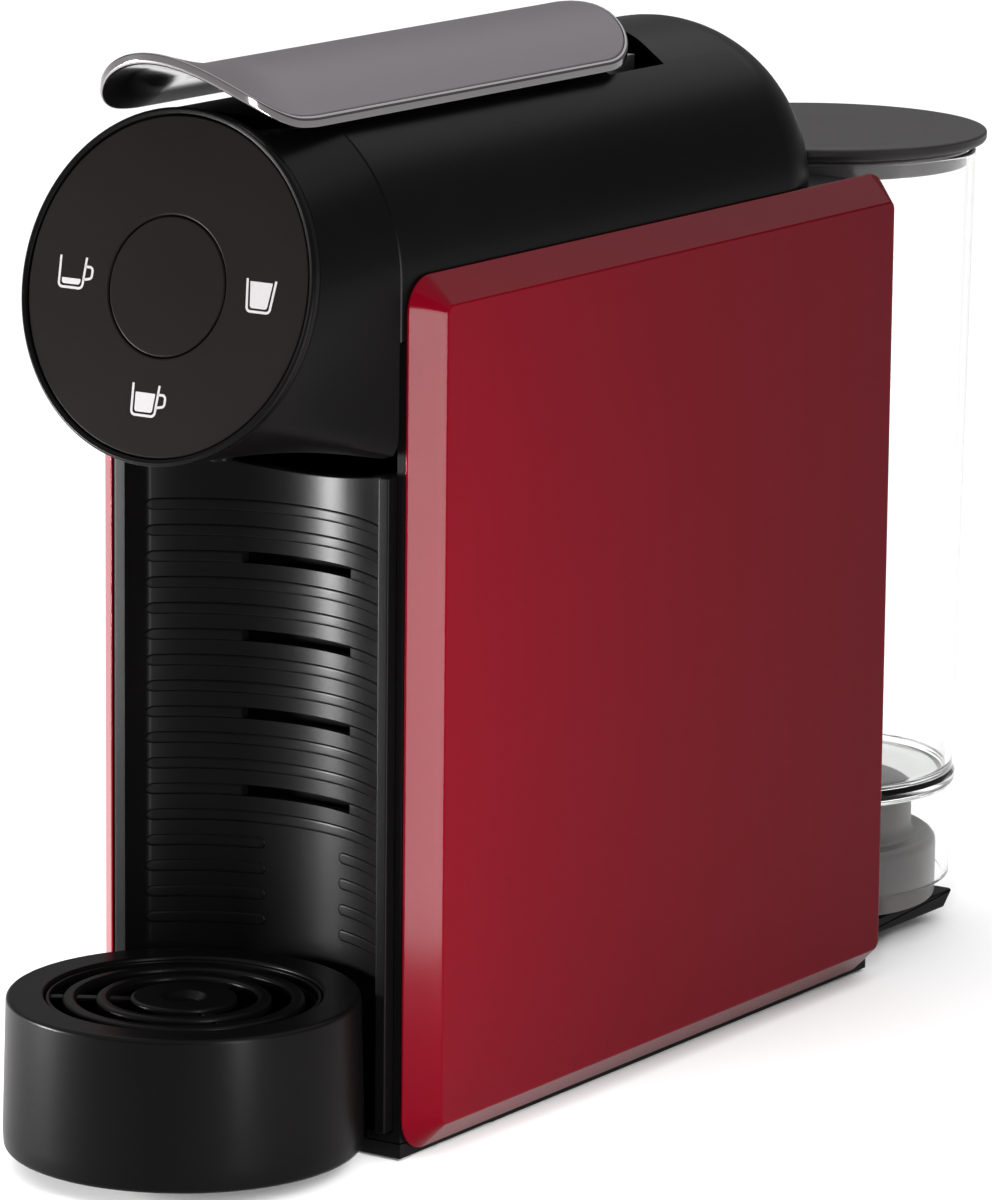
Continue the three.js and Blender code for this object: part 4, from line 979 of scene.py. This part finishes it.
def makeTank():
    wall = tank["wall"]
    floorZ = tank["floor"]
    floorTop = floorZ + tank["floorThick"]
    bead = tank["bead"]
    line = [(tank["valve"], floorZ), (tankRadius(floorZ) - wall, floorZ), (tank["bottom"] - wall, tankLow.z),
            (tank["bottom"], tankLow.z), (tankRadius(floorZ - 0.8), floorZ - 0.8),
            (tankRadius(floorZ) + bead, floorZ), (tankRadius(floorTop) + bead, floorTop - 0.6),
            (tankRadius(floorTop), floorTop + 0.6), (tankHigh.x, tankHigh.z), (tankHigh.x - wall, tankHigh.z),
            (tankRadius(floorTop) - wall, floorTop), (tank["valve"], floorTop)]
    radii = [0.3, 1.2, 0.6, 0.6, 0.6, 0.5, 0.5, 0.6, 0.8, 0.8, 3.0, 0.3]
    mesh = turnedMesh(fillet(line, radii, 6, closed=True), tank["segments"], True)
    addPiece("clearTank", moved(mesh, overTank), "tank_clear", "tank", ["tank"], sharp=40)

    low, high = box("tank_lid")
    radius = high.x
    line = [(0, low.z), (radius - lid["under"], low.z), (radius, low.z + 1.4), (radius, high.z - 0.2),
            (radius - 1.6, high.z), (radius * lid["bowl"], high.z - 1.5), (0, high.z - lid["dish"])]
    line = fillet(line, [0, 1.2, 1.6, 0.9, 0.8, 16, 0], 9)
    addPiece("lidDish", moved(turnedMesh(line, tank["segments"]), overTank), "lid_dark", "lid", ["tank_lid"])

    low, high = box("lid_collar")
    inner = high.x - lid["collarWall"]
    line = [(inner, low.z), (high.x, low.z), (high.x, high.z), (inner, high.z)]
    mesh = turnedMesh(fillet(line, 0.5, 4, closed=True), tank["segments"], True)
    addPiece("lidCollarRing", moved(mesh, overTank), "collar_smoke", "lid", ["lid_collar"])


def makeDock():
    low, high = box("tank_dock")
    radius, shoulder, neck = high.x, dock["shoulder"], high.x - dock["step"]
    well, deep = high.z - dock["well"], high.z - dock["boreDeep"]
    line = [(0, low.z), (radius, low.z), (radius, shoulder), (neck, shoulder), (neck, high.z),
            (dock["seat"], high.z), (dock["seat"], well), (dock["valveRoom"], well),
            (dock["valveRoom"], high.z), (dock["bore"], high.z), (dock["bore"], deep), (0, deep)]
    radii = [0, 1.2, 2.4, 1.6, 1.4, 0.4, 0.3, 0.3, 0.4, 0.3, 0.2, 0]
    mesh = turnedMesh(fillet(line, radii, 6), 128)
    addPiece("dockCup", moved(mesh, overTank), "dock_grey", "chassis", ["tank_dock"])


def makeSpout():
    low, high = box("spout_nozzle")
    place = Matrix.Translation((*middle("spout_nozzle").xy, 0))
    bore, tip, collar = spout["bore"], spout["tip"], spout["collar"]
    line = [(bore, low.z), (tip, low.z), (tip + 0.1, low.z + spout["tipLength"]), (collar, low.z + 5),
            (collar, high.z), (bore, high.z)]
    mesh = turnedMesh(fillet(line, [0.3, 0.6, 0.5, 0.6, 0.2, 0.2], 5, closed=True), 64, True)
    addPiece("spoutTip", moved(mesh, place), "shell_black", "chassis", ["spout_nozzle"])


def makeGland():
    low = box("cord_gland")[0]
    centre = middle("cord_gland")
    bore, neck, wide, length = gland["bore"], gland["neck"], gland["head"], gland["length"]
    line = [(bore, 0), (neck, 0), (neck, gland["neckLength"]), (wide, gland["neckLength"]),
            (wide, length - 1), (wide - 1.8, length), (bore, length)]
    mesh = turnedMesh(fillet(line, [0.2, 0.2, 0.2, 0.4, 0.6, 0.6, 0.6], 4, closed=True), 64, True)
    turn = Matrix.Translation((centre.x, low.y, centre.z)) @ Matrix.Rotation(-math.pi / 2, 4, "X")
    addPiece("cordGlandRing", moved(mesh, turn), "rubber", "chassis", ["cord_gland"])


makeTank()
makeDock()
makeSpout()
makeGland()
print("tank, dock, spout and gland made")


slotOf = {row["node"]: row["material_slot"] for row in frame["record"]["subparts"]}
for node, kept in frame["nodes"].items():
    if not kept.hide_render:
        kept.data.materials.clear()
        kept.data.materials.append(painted[slotOf[node]])
        kept.data.polygons.foreach_set("use_smooth", [True] * len(kept.data.polygons))
        kept.data.set_sharp_from_angle(angle=math.radians(seam["sharp"]))
print("kept pieces painted")


studio = {
    "floorGrey": 0.95, "floorHalf": 4, "floorDrop": 0.0002, "worldGrey": 0.3,
    "lights": (
        # name, place from the machine's middle in metres, width, height, power
        ("ceilingBox", (-0.3, 0.3, 3.2), 8.6, 8.6, 330.0),
        ("stripBox", (0.227, -0.235, -0.03), 0.032, 0.27, 1.6),
        ("leftBox", (-0.5, -0.46, -0.09), 0.12, 0.16, 22.0),
    ),
}
camera = {"azimuth": 33.78, "elevation": 12.04, "roll": 0.59, "distance": 1.7599, "lens": 203.26,
          "aimHeight": 0.1192, "aimRight": 0.00249, "aimBack": 0.1017}


def makeFloor():
    half = studio["floorHalf"]
    outline = fillet([(-half, -half), (half, -half), (half, half), (-half, half)], 0.5, 4, closed=True)
    data = bpy.data.meshes.new("paleFloor")
    data.from_pydata([(p.x, p.y, -studio["floorDrop"]) for p in outline], [], [tuple(range(len(outline)))])
    floor = bpy.data.objects.new("paleFloor", data)
    bpy.context.collection.objects.link(floor)
    paint = Paint("floorPaint")
    cloud = paint.noise(3, 2.0)
    grey = studio["floorGrey"]
    paint.set("Base Color", paint.blend(cloud, (grey, grey, grey), (grey * 0.99,) * 3))
    paint.set("Roughness", 0.7 + 0.1 * cloud)
    paint.set("Specular IOR Level", 0.1)
    data.materials.append(paint.material)


def makeLights():
    aim = (cadLow + cadHigh) / 2
    for name, place, width, height, power in studio["lights"]:
        data = bpy.data.lights.new(name, "AREA")
        data.shape = "RECTANGLE"
        data.size, data.size_y = width, height
        data.energy = power
        lamp = bpy.data.objects.new(name, data)
        lamp.location = aim + Vector(place)
        lamp.rotation_euler = (aim - lamp.location).to_track_quat("-Z", "Y").to_euler()
        lamp.visible_camera = False
        bpy.context.collection.objects.link(lamp)
    world = bpy.data.worlds.new("paleRoom")
    world.use_nodes = True
    grey = studio["worldGrey"]
    world.node_tree.nodes["Background"].inputs["Color"].default_value = (grey, grey, grey * 1.01, 1)
    bpy.context.scene.world = world


def makeCamera():
    turn = math.radians(camera["azimuth"])
    lift = math.radians(camera["elevation"])
    roll = math.radians(camera["roll"])
    back = Vector((math.sin(turn) * math.cos(lift), -math.cos(turn) * math.cos(lift), math.sin(lift)))
    right = Vector((math.cos(turn), math.sin(turn), 0))
    up = back.cross(right)
    across = right * math.cos(roll) + up * math.sin(roll)
    upright = up * math.cos(roll) - right * math.sin(roll)
    # the aim is measured back from the base pan's front edge
    aimY = box("base_pan")[0].y * metre + camera["aimBack"]
    aim = Vector((0, aimY, camera["aimHeight"])) + right * camera["aimRight"]
    data = bpy.data.cameras.new("productCamera")
    data.lens = camera["lens"]
    data.sensor_width = 36
    data.clip_start, data.clip_end = 0.05, 30
    eye = bpy.data.objects.new("productCamera", data)
    spot = aim + back * camera["distance"]
    eye.matrix_world = Matrix((
        (across.x, upright.x, back.x, spot.x),
        (across.y, upright.y, back.y, spot.y),
        (across.z, upright.z, back.z, spot.z),
        (0, 0, 0, 1)))
    bpy.context.collection.objects.link(eye)
    bpy.context.scene.camera = eye


makeFloor()
makeLights()
makeCamera()
bpy.context.scene.view_settings.view_transform = "Standard"
print("studio made")
